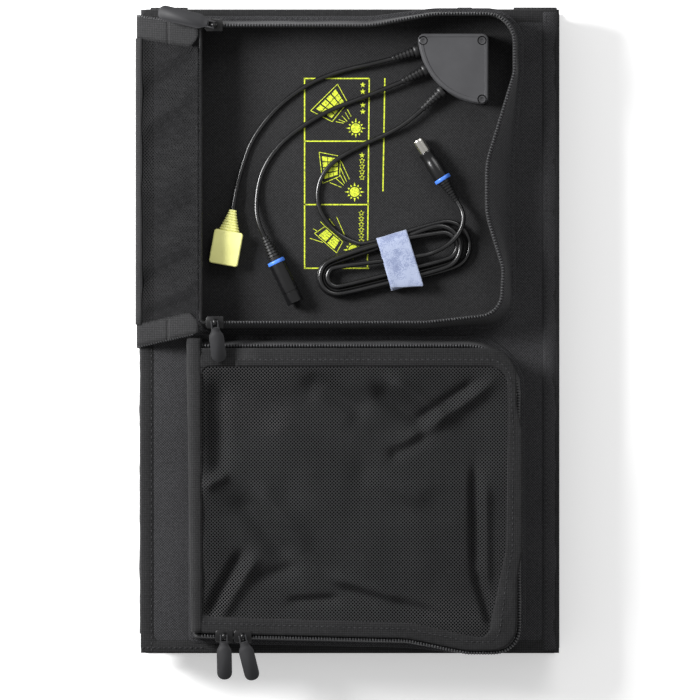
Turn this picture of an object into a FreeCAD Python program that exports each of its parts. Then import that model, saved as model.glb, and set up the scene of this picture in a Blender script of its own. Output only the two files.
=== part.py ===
"""Folding solar blanket, folded into a pack, with two zipped pockets on its top panel.

The frame: X across the pack, Y along it, Z up. The origin is the middle of the pack's underside.
Four panels lie in an accordion. Panel 4 is the lowest, and panel 1 carries the pockets.
"""
import FreeCAD, Part
import math
import os

V = FreeCAD.Vector
UP = V(0, 0, 1)
ALONG = V(0, 1, 0)
os.makedirs("parts", exist_ok=True)

# ---- panels -------------------------------------------------------------------------------
fold_x = 140.7            # from the middle of the pack to each fold line
panel_length = 432.0      # along Y
panel_thick = 8.0
panel_gap = 0.4           # between two folded panels
edge_gap = 0.3            # from a panel's cloth to its fold line
cloth = 0.8               # woven cover
board_width = 254.0
board_length = 404.0
laminate_thick = 1.4
cell_thick = 0.4
cell_columns = 2
cell_rows = 5
cell_width = 116.0
cell_length = 75.0
cell_gap = 3.0
frame_lap = 3.0           # from the outer cells to the window's edge
cover_corner = 6.0
foot_height = 2.0         # hems under panel 4
foot_width = 12.0
foot_length = 280.0
spine_thick = 0.8
spine_length = 408.0

panel_pitch = panel_thick + panel_gap
board_thick = panel_thick - 2 * cloth - laminate_thick - cell_thick
panel_width = 2 * (fold_x - edge_gap)


def panel_z(number):
    """The height of a panel's lower side."""
    return foot_height + (4 - number) * panel_pitch


deck_z = panel_z(1) + panel_thick      # the cloth that the pockets stand on

# ---- pockets ------------------------------------------------------------------------------
wall = 1.0                # gusset cloth with its binding
upper_height = 25.0
lower_height = 18.0
rail_width = 2.4          # closed row of zip coils
rail_height = 1.8
flap_thick = 1.0
flap_lift = 0.4           # from a rail's top to the underside of a closed flap

# corners of each outline, (x, y, corner radius), clockwise from the top left
upper_top = [(-100, 204, 3), (14, 204, 80), (56, 211.8, 60), (110, 211.8, 24), (110, 172, 25),
             (91.5, 112, 50), (91.5, 78, 50), (102.5, 42, 20), (101, 11, 16), (50, 5.3, 60),
             (-100, 5.3, 3)]
upper_base = [(-100, 208, 3), (14, 208, 80), (56, 213.5, 60), (113, 213.5, 24), (113, 172, 25),
              (107, 112, 50), (107, 78, 50), (108, 42, 20), (108, 6, 16), (50, 2, 60),
              (-100, 2, 3)]
lower_top = [(-103, -9.2, 3), (112.5, -9.2, 34), (113.5, -215.2, 22), (78, -215.2, 30),
             (38, -206.9, 50), (-103, -203.4, 3)]
lower_base = [(-105, -6.2, 3), (114, -6.2, 34), (114.5, -213, 22), (78, -213, 30),
              (38, -209, 50), (-105, -206, 3)]
lower_flap_edge = [(-76, -11, 2), (111, -11, 32), (111.8, -209.3, 18), (79, -208.8, 20),
                   (39, -200.6, 40), (-102, -197, 2), (-102, -25, 2), (-76, -25, 2)]
corner_patch = [(-102, -11), (-76.6, -11), (-76.6, -24.4), (-102, -24.4)]

# ---- upper flap, thrown back over the left side -------------------------------------------
flap_side_x = -143.4      # where the flap hangs down the side
flap_bend_z = 37.5
flap_foot_z = 1.0
flap_tail_length = 107.0
tail_split = 77.0            # beyond this the tail is a part of its own that meets the floor
flap_near = (11.5, 193.0)     # the flap's reach in Y beside the sliders
flap_far = (-2.0, 201.0)      # and past them
flap_step = 21.0          # from the hinge to where the flap widens
fall_reach = (-9.5, 210.5)
tail_reach = (4.0, 200.0)
tail_corner = 22.0
bend_gap = 0.7            # cloth left out beside a bend line

# ---- sliders ------------------------------------------------------------------------------
slider_length = 12.0
slider_width = 8.6
slider_side = 1.4         # depth of the sides below the rail's top
slider_top = 1.2          # plate over the rail
slide_gap = 0.3
crown_length = 5.0
crown_width = 2.4
crown_height = 3.4
pin_radius = 0.7
pin_gap = 0.06
fork_gap = 0.3
fork_thick = 1.2
tab_width = 10.0
tab_thick = 1.8
tab_lead = 7.0            # from the pin to the tab's wide part
# name: (rail, x, y, heading of the puller, its length, its drop in degrees)
sliders = {
    "up_top": ("upper", -90.6, 203.5, 166.0, 38.0, 3.5),
    "up_low": ("upper", -90.0, 5.8, -83.0, 27.0, 13.0),
    "low_left": ("lower", -84.0, -203.3, -89.0, 29.0, 4.0),
    "low_right": ("lower", -71.6, -203.6, -76.0, 30.0, 4.0),
}

# ---- junction box -------------------------------------------------------------------------
box_x = 92.6
box_y = 199.0
box_side = 47.5
box_corner = 4.0
box_rise = 0.2
box_base_height = 12.0
box_lid_height = 3.5
box_wall = 2.0
circuit_thick = 1.6
circuit_gap = 0.4
screw_radius = 3.0
screw_gap = 0.2
screw_depth = 2.2
screws = [(48.9, 194.2), (88.2, 194.2), (88.2, 155.0)]

# ---- leads --------------------------------------------------------------------------------
lead_radius = 1.6
gland_z = 40.2            # height of the leads at the box
lead_z = 36.9             # height of a lead that lies on the cloth
relief_tip = 2.3
gland_flange = 4.6
gland_flange_length = 2.0
glands = {"a": (28.2, 182.7, 44.9, 188.2), "b": (35.1, 167.5, 50.6, 175.4),
          "c": (48.3, 148.8, 61.4, 160.8)}

lead_a = [(28.2, 182.7, gland_z), (14.5, 179.2, gland_z), (0, 176.3, 38.6),
          (-16.5, 171.4, lead_z), (-31.3, 164, lead_z), (-46, 153, lead_z),
          (-56, 142.4, lead_z), (-65.8, 128.6, lead_z), (-70.7, 115.8, lead_z),
          (-74.6, 102.5, 37.8), (-77.1, 91.3, 40.4), (-78.5, 81.3, 40.4)]
lead_b = [(35.1, 167.5, gland_z), (24.3, 163.0, gland_z), (12.4, 158.2, 38.8),
          (-1.0, 153.4, lead_z), (-16.5, 147, lead_z), (-31, 138.4, lead_z),
          (-44, 128.6, lead_z), (-54, 116.8, lead_z), (-60, 105, lead_z),
          (-62.6, 92, 37.6), (-63.0, 80.5, 39.9), (-61.2, 71.2, 41.3), (-57.4, 63.3, 41.3)]
lead_c_feed = [(48.3, 148.8, gland_z), (38.7, 140.1, gland_z), (26.5, 133, 38.4),
               (13, 127.2, lead_z), (0, 120.8, lead_z), (-10.6, 114.3, lead_z),
               (-18.5, 105.5, lead_z), (-22, 95, lead_z), (-21.5, 84, lead_z),
               (-16.5, 74, lead_z), (-8.5, 65.3, lead_z), (1, 60.2, 37.6), (9.8, 57.6, 38.9)]
lead_c_tail = [(48, 50.3, 42.0), (57, 53, 44.3), (65.6, 57.6, 44.6), (72.4, 64.2, 44.6),
               (76.2, 72.6, 44.4), (75.6, 81.0, 41.8), (71.4, 87.4, 40.9)]

coil_left = (-8.5, 36.5, 15.0)      # middle and radius of the coil's left end
coil_right = (64.5, 57.7, 18.5)
coil_height = 2 * 2 * lead_radius
tie_thick = 0.9
tie_width = 22.0
tie_length = 38.5
tie_gap = 0.2
tie_at = (32.75, 47.6)

# pieces on the leads' ends, each along its own heading from where the lead meets it
usb_heading = -100.2
usb_relief_length = 14.4
usb_width = 19.5
usb_length = 23.0
usb_thick = 10.0
usb_chamfer = 3.0
port_width = 12.5
port_height = 5.1
port_depth = 12.0
port_wall = 0.4
tongue_thick = 1.8
tongue_gap = 0.7

socket_heading = -64.5
socket_relief_length = 17.5
socket_radius = 5.75
socket_length = 28.8
bore_radius = 4.0
bore_depth = 12.0

plug_heading = 122.6
plug_relief_length = 16.0
plug_radius = 5.35
plug_length = 20.3
barrel_radius = 3.95
barrel_length = 9.5
barrel_hole = 2.9
barrel_hole_depth = 8.0
ring_length = 2.6
ring_step = 0.2

# ---- webbing tabs at the pack's top edge --------------------------------------------------
tabs = [(-134.0, -109.0), (72.0, 82.0), (110.0, 139.0)]
tab_reach = 1.8
tab_height = 6.0


def box(x0, x1, y0, y1, z0, z1):
    return Part.makeBox(x1 - x0, y1 - y0, z1 - z0, V(x0, y0, z0))


def centred_box(width, length, z0, z1):
    return box(-width / 2, width / 2, -length / 2, length / 2, z0, z1)


def upright_edges(shape, x_from=-1e3, x_to=1e3):
    chosen = []
    for edge in shape.Edges:
        a, b = edge.Vertexes[0].Point, edge.Vertexes[-1].Point
        if abs(a.x - b.x) < 1e-6 and abs(a.y - b.y) < 1e-6 and x_from <= a.x <= x_to:
            chosen.append(edge)
    return chosen


def save(name, shape):
    """Write one sub-part and say how big it is."""
    shape = shape.removeSplitter()
    shape.exportStep("parts/" + name + ".step")
    print(f"{name:18s} {shape.Volume / 1000:9.3f} cm3  solids {len(shape.Solids):3d}  {shape.isValid()}")


def inset(corners, distance):
    """The same outline, moved inwards by a distance (clockwise corners)."""
    moved = []
    count = len(corners)
    for i, (x, y, radius) in enumerate(corners):
        px, py, _ = corners[i - 1]
        nx, ny, _ = corners[(i + 1) % count]
        a = V(x - px, y - py, 0).normalize()
        b = V(nx - x, ny - y, 0).normalize()
        inward_a, inward_b = V(a.y, -a.x, 0), V(b.y, -b.x, 0)
        mitre = (inward_a + inward_b).multiply(distance / (1 + inward_a.dot(inward_b)))
        moved.append((x + mitre.x, y + mitre.y, max(radius - distance, 0.5)))
    return moved


def outline(corners, z):
    """A closed wire of straight lines and corner arcs."""
    count = len(corners)
    starts, ends, middles = [], [], []
    for i, (x, y, radius) in enumerate(corners):
        here = V(x, y, z)
        back = V(corners[i - 1][0], corners[i - 1][1], z) - here
        ahead = V(corners[(i + 1) % count][0], corners[(i + 1) % count][1], z) - here
        half = back.getAngle(ahead) / 2
        reach = min(radius / math.tan(half), 0.48 * back.Length, 0.48 * ahead.Length)
        true_radius = reach * math.tan(half)
        back.normalize()
        ahead.normalize()
        starts.append(here + back * reach)
        ends.append(here + ahead * reach)
        inward = (back + ahead).normalize()
        middles.append(here + inward * (true_radius / math.sin(half) - true_radius))
    edges = []
    for i in range(count):
        edges.append(Part.Arc(starts[i], middles[i], ends[i]).toShape())
        edges.append(Part.LineSegment(ends[i], starts[(i + 1) % count]).toShape())
    return Part.Wire(edges)


def prism(wire, height):
    return Part.Face(wire).extrude(V(0, 0, height))


def ring_wall(base, top, z0, z1, thick):
    """A cloth wall that leans from the base outline to the top one."""
    outside = Part.makeLoft([outline(base, z0), outline(top, z1)], True, True)
    inside = Part.makeLoft([outline(inset(base, thick), z0), outline(inset(top, thick), z1)], True, True)
    return outside.cut(inside)


# ---- the panels ---------------------------------------------------------------------------
def turned_over(shape):
    """Face a panel's cells down, inside the same thickness."""
    turned = shape.copy()
    turned.rotate(V(0, 0, panel_thick / 2), ALONG, 180)
    return turned


def make_cover():
    """Cloth back with a hem all round, and a cloth frame that holds the board."""
    hem = centred_box(panel_width, panel_length, 0, 2 * cloth)
    case = centred_box(board_width + 2 * cloth, board_length + 2 * cloth, 0, panel_thick)
    case = case.makeFillet(cover_corner, upright_edges(case))
    cavity = centred_box(board_width, board_length, cloth, panel_thick - cloth)
    window_width = cell_columns * cell_width + (cell_columns - 1) * cell_gap + 2 * frame_lap
    window_length = cell_rows * cell_length + (cell_rows - 1) * cell_gap + 2 * frame_lap
    window = centred_box(window_width, window_length, panel_thick - 2 * cloth, panel_thick + 1)
    return hem.fuse(case).cut(cavity).cut(window)


def make_cells():
    bottom = cloth + board_thick + laminate_thick
    cells = []
    for column in range(cell_columns):
        for row in range(cell_rows):
            x = (column - (cell_columns - 1) / 2) * (cell_width + cell_gap) - cell_width / 2
            y = (row - (cell_rows - 1) / 2) * (cell_length + cell_gap) - cell_length / 2
            cells.append(box(x, x + cell_width, y, y + cell_length, bottom, bottom + cell_thick))
    return Part.makeCompound(cells)


def make_panels():
    board_top = cloth + board_thick
    pieces = {
        "cover": make_cover(),
        "board": centred_box(board_width, board_length, cloth, board_top),
        "laminate": centred_box(board_width, board_length, board_top, board_top + laminate_thick),
        "cells": make_cells(),
    }
    for number in (1, 2, 3, 4):
        for name, shape in pieces.items():
            posed = turned_over(shape) if number in (1, 3) else shape.copy()
            posed.translate(V(0, 0, panel_z(number)))
            save(f"{name}_{number}", posed)


def make_feet():
    strips = []
    for side in (-1, 1):
        middle = side * (panel_length - foot_width) / 2
        strips.append(box(-foot_length / 2, foot_length / 2, middle - foot_width / 2,
                          middle + foot_width / 2, 0, foot_height))
    return Part.makeCompound(strips)


def make_spine(side, low_panel, low_hem, high_hem):
    """A cloth strip round a fold, joined to the hem of the lower panel."""
    x_in, x_out = side * fold_x, side * (fold_x + spine_thick)
    hem_edge = side * (fold_x - edge_gap)
    half = spine_length / 2
    strip = box(min(x_in, x_out), max(x_in, x_out), -half, half, low_hem, high_hem)
    lip = box(min(x_in, hem_edge), max(x_in, hem_edge), -half, half, low_hem, low_hem + 2 * cloth)
    save(f"spine_{low_panel - 1}_{low_panel}", strip.fuse(lip))


# ---- pockets ------------------------------------------------------------------------------
def make_rail(top, z, hinge_x):
    """The zip's coils along a wall's top edge, left open on the hinge side."""
    middle = wall / 2
    outside = prism(outline(inset(top, middle - rail_width / 2), z), rail_height)
    inside = prism(outline(inset(top, middle + rail_width / 2), z), rail_height)
    hinge_side = box(hinge_x - 10, hinge_x + 3.5, -250, 250, z - 1, z + rail_height + 1)
    return outside.cut(inside).cut(hinge_side)


def flat_slab(start, end, spans, thick):
    """A slab between two points of the XZ plane; spans lists (distance, y from, y to)."""
    start, end = V(*start), V(*end)
    along = (end - start).normalize()
    left = [start + along * d + ALONG * low for d, low, _ in spans]
    right = [start + along * d + ALONG * high for d, _, high in spans]
    loop = left + right[::-1] + left[:1]
    face = Part.Face(Part.makePolygon(loop))
    normal = along.cross(ALONG)
    face.translate(normal * (-thick / 2))
    return face.extrude(normal * thick)


def make_upper_flap(hinge_z):
    hinge = (-100.4, 0, hinge_z)
    bend = (flap_side_x, 0, flap_bend_z)
    foot = (flap_side_x, 0, flap_foot_z)
    length = (V(*bend) - V(*hinge)).Length
    over = [(bend_gap, *flap_near), (flap_step, *flap_near), (flap_step, *flap_far),
            (length - bend_gap, *flap_far)]
    save("flap_upper", flat_slab(hinge, bend, over, flap_thick))
    drop = flap_bend_z - flap_foot_z
    save("flap_fall", flat_slab(bend, foot, [(bend_gap, *fall_reach), (drop - bend_gap, *fall_reach)],
                                flap_thick))
    low, high = tail_reach
    tail = box(flap_side_x + bend_gap, flap_side_x + flap_tail_length, low, high,
               flap_foot_z - flap_thick / 2, flap_foot_z + flap_thick / 2)
    tail = tail.makeFillet(tail_corner, upright_edges(tail, x_from=flap_side_x + flap_tail_length - 1))
    end = box(flap_side_x + tail_split, flap_side_x + flap_tail_length, low, high, 0, deck_z)
    save("flap_tail", tail.cut(end))
    save("flap_tail_end", tail.common(end))
    print("upper flap from its hinge to its bend:", round(length, 2))


def make_lower_flap(z):
    slab = prism(outline(lower_flap_edge, z), flap_thick)
    save("flap_lower", slab)
    corners = [V(x, y, z) for x, y in corner_patch]
    patch = Part.Face(Part.makePolygon(corners + corners[:1])).extrude(V(0, 0, flap_thick))
    save("pocket_corner", patch)


# ---- sliders ------------------------------------------------------------------------------
def placed(shape, x, y, z, heading):
    """Turn a piece that was made along +X from the origin, and put it in its place."""
    moved = shape.copy()
    moved.rotate(V(0, 0, 0), UP, heading)
    moved.translate(V(x, y, z))
    return moved


def make_slider(name, rail_top):
    rail, x, y, heading, length, drop = sliders[name]
    channel = rail_width / 2 + slide_gap
    plate = box(-slider_length / 2, slider_length / 2, -slider_width / 2, slider_width / 2,
                -slider_side, slide_gap + slider_top)
    plate = plate.makeFillet(2.0, upright_edges(plate))
    groove = box(-slider_length, slider_length, -channel, channel, -slider_side - 1, slide_gap)
    body = plate.cut(groove)
    crown_top = slide_gap + slider_top + crown_height
    pin_z = crown_top - crown_height / 2 + 0.3
    crown = box(-crown_length / 2, crown_length / 2, -crown_width / 2, crown_width / 2,
                slide_gap + slider_top - 0.1, crown_top)
    hole = Part.makeCylinder(pin_radius + pin_gap, 2 * crown_width, V(0, -crown_width, pin_z), ALONG)
    crown = crown.cut(hole)
    crown.rotate(V(0, 0, 0), UP, heading)
    tilt = 0 if rail == "upper" else math.degrees(math.atan2(-3.5, 141))
    body.rotate(V(0, 0, 0), UP, tilt)
    body = body.fuse(crown)
    body.translate(V(x, y, rail_top))
    save("slider_" + name, body)

    half_fork = crown_width / 2 + fork_gap + fork_thick
    reach = crown_length / 2 + 1.0
    pin = Part.makeCylinder(pin_radius, 2 * half_fork, V(0, -half_fork, 0), ALONG)
    puller = pin
    for side in (-1, 1):
        inner = side * (crown_width / 2 + fork_gap)
        outer = side * half_fork
        puller = puller.fuse(box(-1.1, reach + 1, min(inner, outer), max(inner, outer), -1.0, 1.0))
    neck = box(reach, tab_lead + 1, -half_fork, half_fork, -tab_thick / 2, tab_thick / 2)
    tab = box(tab_lead, length, -tab_width / 2, tab_width / 2, -tab_thick / 2, tab_thick / 2)
    tab = tab.makeFillet(3.0, upright_edges(tab))
    puller = puller.fuse(neck).fuse(tab)
    puller.rotate(V(0, 0, 0), ALONG, drop)
    save("puller_" + name, placed(puller, x, y, rail_top + pin_z, heading))
    turn = math.radians(heading)
    print(f"  pin of {name}: {x}, {y}, {rail_top + pin_z:.3f}, axis {math.sin(turn):.4f}, {-math.cos(turn):.4f}")


# ---- junction box -------------------------------------------------------------------------
def sector(shrink, z0, z1):
    """A quarter disc round the box's top right corner, with small corners."""
    far = box_side - shrink * (1 + math.sqrt(2))
    corner_x, corner_y = box_x - shrink, box_y - shrink
    disc = Part.makeCylinder(far, z1 - z0, V(corner_x, corner_y, z0), UP, 360)
    square = box(corner_x - far, corner_x, corner_y - far, corner_y, z0, z1)
    shape = disc.common(square)
    return shape.makeFillet(max(box_corner - shrink, 0.5), upright_edges(shape))


def make_junction_box():
    floor = deck_z + box_rise
    joint = floor + box_base_height
    lid_top = joint + box_lid_height
    base = sector(0, floor, joint).cut(sector(box_wall, floor + box_wall, joint + 1))
    save("box_base", base)
    lid = sector(0.3, joint, lid_top)
    for x, y in screws:
        lid = lid.cut(Part.makeCylinder(screw_radius + screw_gap, screw_depth + 1, V(x, y, lid_top - screw_depth)))
    save("box_lid", lid)
    heads = []
    for x, y in screws:
        head = Part.makeCylinder(screw_radius, screw_depth - 0.4, V(x, y, lid_top - screw_depth))
        socket = Part.makeCylinder(1.3, 1.2, V(x, y, lid_top - 0.4 - 1.2))
        heads.append(head.cut(socket))
    save("box_screws", Part.makeCompound(heads))
    board_z = floor + box_wall + circuit_gap
    save("box_circuit", sector(box_wall + circuit_gap, board_z, board_z + circuit_thick))


def make_glands():
    """A flange at the box and a taper to the lead, for each of the three leads."""
    shapes = []
    for tip_x, tip_y, root_x, root_y in glands.values():
        along = V(root_x - tip_x, root_y - tip_y, 0)
        length = along.Length
        along.normalize()
        cone = Part.makeCone(relief_tip, gland_flange - 1, length - gland_flange_length,
                             V(tip_x, tip_y, gland_z), along)
        flange_at = V(tip_x, tip_y, gland_z) + along * (length - gland_flange_length)
        flange = Part.makeCylinder(gland_flange, gland_flange_length + 4, flange_at, along)
        outside = cone.fuse(flange).cut(sector(0, deck_z, deck_z + box_rise + box_base_height + 2))
        shapes.append(max(outside.Solids, key=lambda s: s.Volume))
    save("box_glands", Part.makeCompound(shapes))


# ---- leads --------------------------------------------------------------------------------
def make_lead(name, points):
    """A round tube along straight runs that are joined by tangent arcs."""
    knots = [V(*p) for p in points]
    edges, radii = [], []
    at = knots[0]
    length = 0
    for i in range(1, len(knots) - 1):
        back, ahead = knots[i - 1] - knots[i], knots[i + 1] - knots[i]
        turn = math.pi - back.getAngle(ahead)
        reach = 0.45 * min(back.Length, ahead.Length)
        radius = reach / math.tan(turn / 2)
        back.normalize()
        ahead.normalize()
        start, end = knots[i] + back * reach, knots[i] + ahead * reach
        middle = knots[i] + (back + ahead).normalize() * (radius / math.cos(turn / 2) - radius)
        edges.append(Part.LineSegment(at, start).toShape())
        edges.append(Part.Arc(start, middle, end).toShape())
        radii.append(radius)
        at = end
    edges.append(Part.LineSegment(at, knots[-1]).toShape())
    path = Part.Wire(edges)
    length = path.Length
    section = Part.Wire(Part.makeCircle(lead_radius, knots[0], knots[1] - knots[0]))
    tube = path.makePipeShell([section], True, False)
    expected = math.pi * lead_radius ** 2 * length
    print(f"{name}: {length:.0f} mm, radii {min(radii):.1f} to {max(radii):.0f}, "
          f"volume {tube.Volume / expected:.4f} of section times length")
    save(name, tube)
    return length


def coil_bottom():
    return deck_z + 0.2 + tie_thick


def make_coil():
    """The outer shape of the coiled lead: two round ends and the straight sides between."""
    (x1, y1, r1), (x2, y2, r2) = coil_left, coil_right
    away = V(x2 - x1, y2 - y1, 0)
    heading = math.atan2(away.y, away.x)
    spread = math.acos((r1 - r2) / away.Length)
    z = coil_bottom()

    def rim(x, y, radius, angle):
        return V(x + radius * math.cos(angle), y + radius * math.sin(angle), z)

    left_top, left_low = rim(x1, y1, r1, heading + spread), rim(x1, y1, r1, heading - spread)
    right_top, right_low = rim(x2, y2, r2, heading + spread), rim(x2, y2, r2, heading - spread)
    edges = [
        Part.LineSegment(left_top, right_top).toShape(),
        Part.Arc(right_top, rim(x2, y2, r2, heading), right_low).toShape(),
        Part.LineSegment(right_low, left_low).toShape(),
        Part.Arc(left_low, rim(x1, y1, r1, heading + math.pi), left_top).toShape(),
    ]
    save("lead_c_coil", prism(Part.Wire(edges), coil_height))
    return math.degrees(heading)


def make_tie(heading):
    height = coil_height + 2 * tie_gap
    z = coil_bottom() - tie_gap
    outer = box(-tie_width / 2, tie_width / 2, -tie_length / 2, tie_length / 2,
                z - tie_thick + tie_gap, z + height + tie_thick)
    inner = box(-tie_width, tie_width, -tie_length / 2 + tie_thick, tie_length / 2 - tie_thick,
                z, z + height)
    save("tie", placed(outer.cut(inner), *tie_at, 0, heading))


def taper(length, radius):
    return Part.makeCone(relief_tip, radius, length, V(0, 0, 0), V(1, 0, 0))


def rod(x0, x1, radius):
    return Part.makeCylinder(radius, x1 - x0, V(x0, 0, 0), V(1, 0, 0))


def make_usb():
    x, y, z = lead_a[-1]
    end = usb_relief_length + usb_length
    save("usb_relief", placed(taper(usb_relief_length, 4.2), x, y, z, usb_heading))
    body = box(usb_relief_length, end, -usb_width / 2, usb_width / 2, -usb_thick / 2, usb_thick / 2)
    long_edges = [e for e in body.Edges if abs(abs(e.Vertexes[0].Y) - abs(e.Vertexes[-1].Y)) < 1e-6
                  and abs(e.Vertexes[0].X - e.Vertexes[-1].X) > 1]
    body = body.makeFillet(1.5, long_edges)
    shell = box(end - port_depth, end, -port_width / 2 - port_wall, port_width / 2 + port_wall,
                -port_height / 2 - port_wall, port_height / 2 + port_wall)
    hollow = box(end - port_depth + port_wall, end + 1, -port_width / 2, port_width / 2,
                 -port_height / 2, port_height / 2)
    tongue = box(end - port_depth, end - 1, -port_width / 2 + tongue_gap, port_width / 2 - tongue_gap,
                 port_height / 2 - tongue_gap - tongue_thick, port_height / 2 - tongue_gap)
    save("usb_body", placed(body.cut(shell), x, y, z, usb_heading))
    save("usb_port", placed(shell.cut(hollow).fuse(tongue), x, y, z, usb_heading))


def make_socket():
    x, y, z = lead_b[-1]
    ring_end = socket_relief_length + ring_length
    end = ring_end + socket_length
    body = rod(ring_end, end, socket_radius).cut(rod(end - bore_depth, end + 1, bore_radius))
    save("socket_relief", placed(taper(socket_relief_length, 4.8), x, y, z, socket_heading))
    save("socket_ring", placed(rod(socket_relief_length, ring_end, socket_radius + ring_step),
                               x, y, z, socket_heading))
    save("socket_body", placed(body, x, y, z, socket_heading))
    turn = math.radians(socket_heading)
    print(f"  socket mouth {x + end * math.cos(turn):.3f}, {y + end * math.sin(turn):.3f}, {z}")


def make_plug():
    x, y, z = lead_c_tail[-1]
    ring_end = plug_relief_length + ring_length
    body_end = ring_end + plug_length
    end = body_end + barrel_length
    barrel = rod(body_end, end, barrel_radius).cut(rod(end - barrel_hole_depth, end + 1, barrel_hole))
    save("plug_relief", placed(taper(plug_relief_length, 4.6), x, y, z, plug_heading))
    save("plug_ring", placed(rod(plug_relief_length, ring_end, plug_radius + ring_step),
                             x, y, z, plug_heading))
    save("plug_body", placed(rod(ring_end, body_end, plug_radius), x, y, z, plug_heading))
    save("plug_barrel", placed(barrel, x, y, z, plug_heading))
    turn = math.radians(plug_heading)
    print(f"  plug tip {x + end * math.cos(turn):.3f}, {y + end * math.sin(turn):.3f}, {z}")


def make_tabs():
    top = panel_z(1) + panel_thick - cloth
    edge = panel_length / 2
    return Part.makeCompound([box(x0, x1, edge, edge + tab_reach, top - tab_height, top)
                              for x0, x1 in tabs])


make_panels()
save("feet", make_feet())
hem = 2 * cloth
make_spine(1, 4, panel_z(4), panel_z(3) + panel_thick)
make_spine(-1, 3, panel_z(3) + panel_thick - hem, panel_z(2) + hem)
make_spine(1, 2, panel_z(2), panel_z(1) + panel_thick)

upper_rail_z = deck_z + upper_height
lower_rail_z = deck_z + lower_height
save("gusset_upper", ring_wall(upper_base, upper_top, deck_z, upper_rail_z, wall))
save("zip_upper", make_rail(upper_top, upper_rail_z, -100))
make_upper_flap(upper_rail_z + rail_height + flap_lift + flap_thick / 2)
save("gusset_lower", ring_wall(lower_base, lower_top, deck_z, lower_rail_z, wall))
save("zip_lower", make_rail(lower_top, lower_rail_z, -103))
make_lower_flap(lower_rail_z + rail_height + flap_lift)
for slider_name, facts in sliders.items():
    rail_z = upper_rail_z if facts[0] == "upper" else lower_rail_z
    make_slider(slider_name, rail_z + rail_height)

make_junction_box()
make_glands()
make_lead("lead_a", lead_a)
make_lead("lead_b", lead_b)
make_lead("lead_c_feed", lead_c_feed)
make_lead("lead_c_tail", lead_c_tail)
make_tie(make_coil())
make_usb()
make_socket()
make_plug()
save("webbing_tabs", make_tabs())
print("deck at", deck_z, "upper rail at", upper_rail_z, "lower rail at", lower_rail_z)
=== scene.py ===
# %% [markdown]
# # A folding solar blanket, folded into a pack
#
# Four stiff solar panels in woven polyester covers lie on each other like an accordion. The top
# one carries two zipped mesh pockets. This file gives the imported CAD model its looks: cloth,
# net, zips, a junction box, and three thin leads. The CAD model is the fixed frame, so every
# piece takes its place from it. The first cell loads that frame.

import math

import bmesh
import bpy
from mathutils import Matrix, Vector, noise


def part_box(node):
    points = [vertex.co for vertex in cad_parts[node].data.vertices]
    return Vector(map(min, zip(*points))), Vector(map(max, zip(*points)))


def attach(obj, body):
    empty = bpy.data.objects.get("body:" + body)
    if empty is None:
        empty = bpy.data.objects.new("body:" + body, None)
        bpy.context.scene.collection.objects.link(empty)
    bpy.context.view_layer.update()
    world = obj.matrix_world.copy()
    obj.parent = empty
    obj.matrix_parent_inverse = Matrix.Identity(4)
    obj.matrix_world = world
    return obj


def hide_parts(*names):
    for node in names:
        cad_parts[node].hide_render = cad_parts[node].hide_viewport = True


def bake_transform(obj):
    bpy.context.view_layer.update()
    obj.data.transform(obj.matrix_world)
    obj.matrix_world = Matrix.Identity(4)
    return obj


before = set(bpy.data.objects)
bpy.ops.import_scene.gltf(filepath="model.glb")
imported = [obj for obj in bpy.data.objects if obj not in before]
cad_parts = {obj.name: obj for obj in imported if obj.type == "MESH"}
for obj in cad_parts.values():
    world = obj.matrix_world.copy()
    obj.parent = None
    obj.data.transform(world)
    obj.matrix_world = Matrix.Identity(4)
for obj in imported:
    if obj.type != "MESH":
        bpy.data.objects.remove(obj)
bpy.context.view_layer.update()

# %% [markdown]
# ## Millimetres
#
# The object's sizes are easiest to read in millimetres, and Blender's scene is in metres. Each
# mesh below is shaped in millimetres, and `finish_piece` turns it into metres at the end, so a
# size is never written with a string of zeros.

# %% Places that come from the frame
MM = 0.001


def node_box(node):
    """The lowest and highest corner of a CAD node, in millimetres."""
    low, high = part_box(node)
    return Vector(low) / MM, Vector(high) / MM


deck_z = node_box("cover_1")[1].z
board_high = node_box("board_1")[1]
upper_rail = node_box("zip_upper")
lower_rail = node_box("zip_lower")
upper_wall_top = upper_rail[0].z
lower_wall_top = lower_rail[0].z
print("deck at", round(deck_z, 2),
      "walls up to", round(upper_wall_top, 2), round(lower_wall_top, 2))

# %% [markdown]
# ## The camera
#
# The pack is seen straight from above. A long lens far away keeps its sides out of sight, so the
# outline stays close to a plan drawing.

# %% Camera over the pack
VIEW_HEIGHT = 470.0
VIEW_MIDDLE_Y = -12.6
CAMERA_RISE = 3000.0
SENSOR_WIDTH = 36.0

camera_data = bpy.data.cameras.new("camera")
camera = bpy.data.objects.new("camera", camera_data)
bpy.context.scene.collection.objects.link(camera)
camera_data.sensor_width = SENSOR_WIDTH
camera_data.lens = SENSOR_WIDTH * (CAMERA_RISE - deck_z) / VIEW_HEIGHT
camera_data.clip_end = 20.0
camera.location = Vector((0, VIEW_MIDDLE_Y, CAMERA_RISE)) * MM
bpy.context.scene.camera = camera

# %% [markdown]
# ## Colours and one helper for nodes
#
# Colours are written as the hex values a designer would pick on a screen. Shaders work on linear
# light, so one function turns a hex value into that. A second one adds a node, sets it and links
# it, and every material below is built with it.

# %% Colour and node helpers
def colour(hex_value):
    """A screen colour as linear light, with full alpha."""
    parts = [int(hex_value[i:i + 2], 16) / 255 for i in (1, 3, 5)]
    return [p / 12.92 if p < 0.04045 else ((p + 0.055) / 1.055) ** 2.4 for p in parts] + [1.0]


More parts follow.
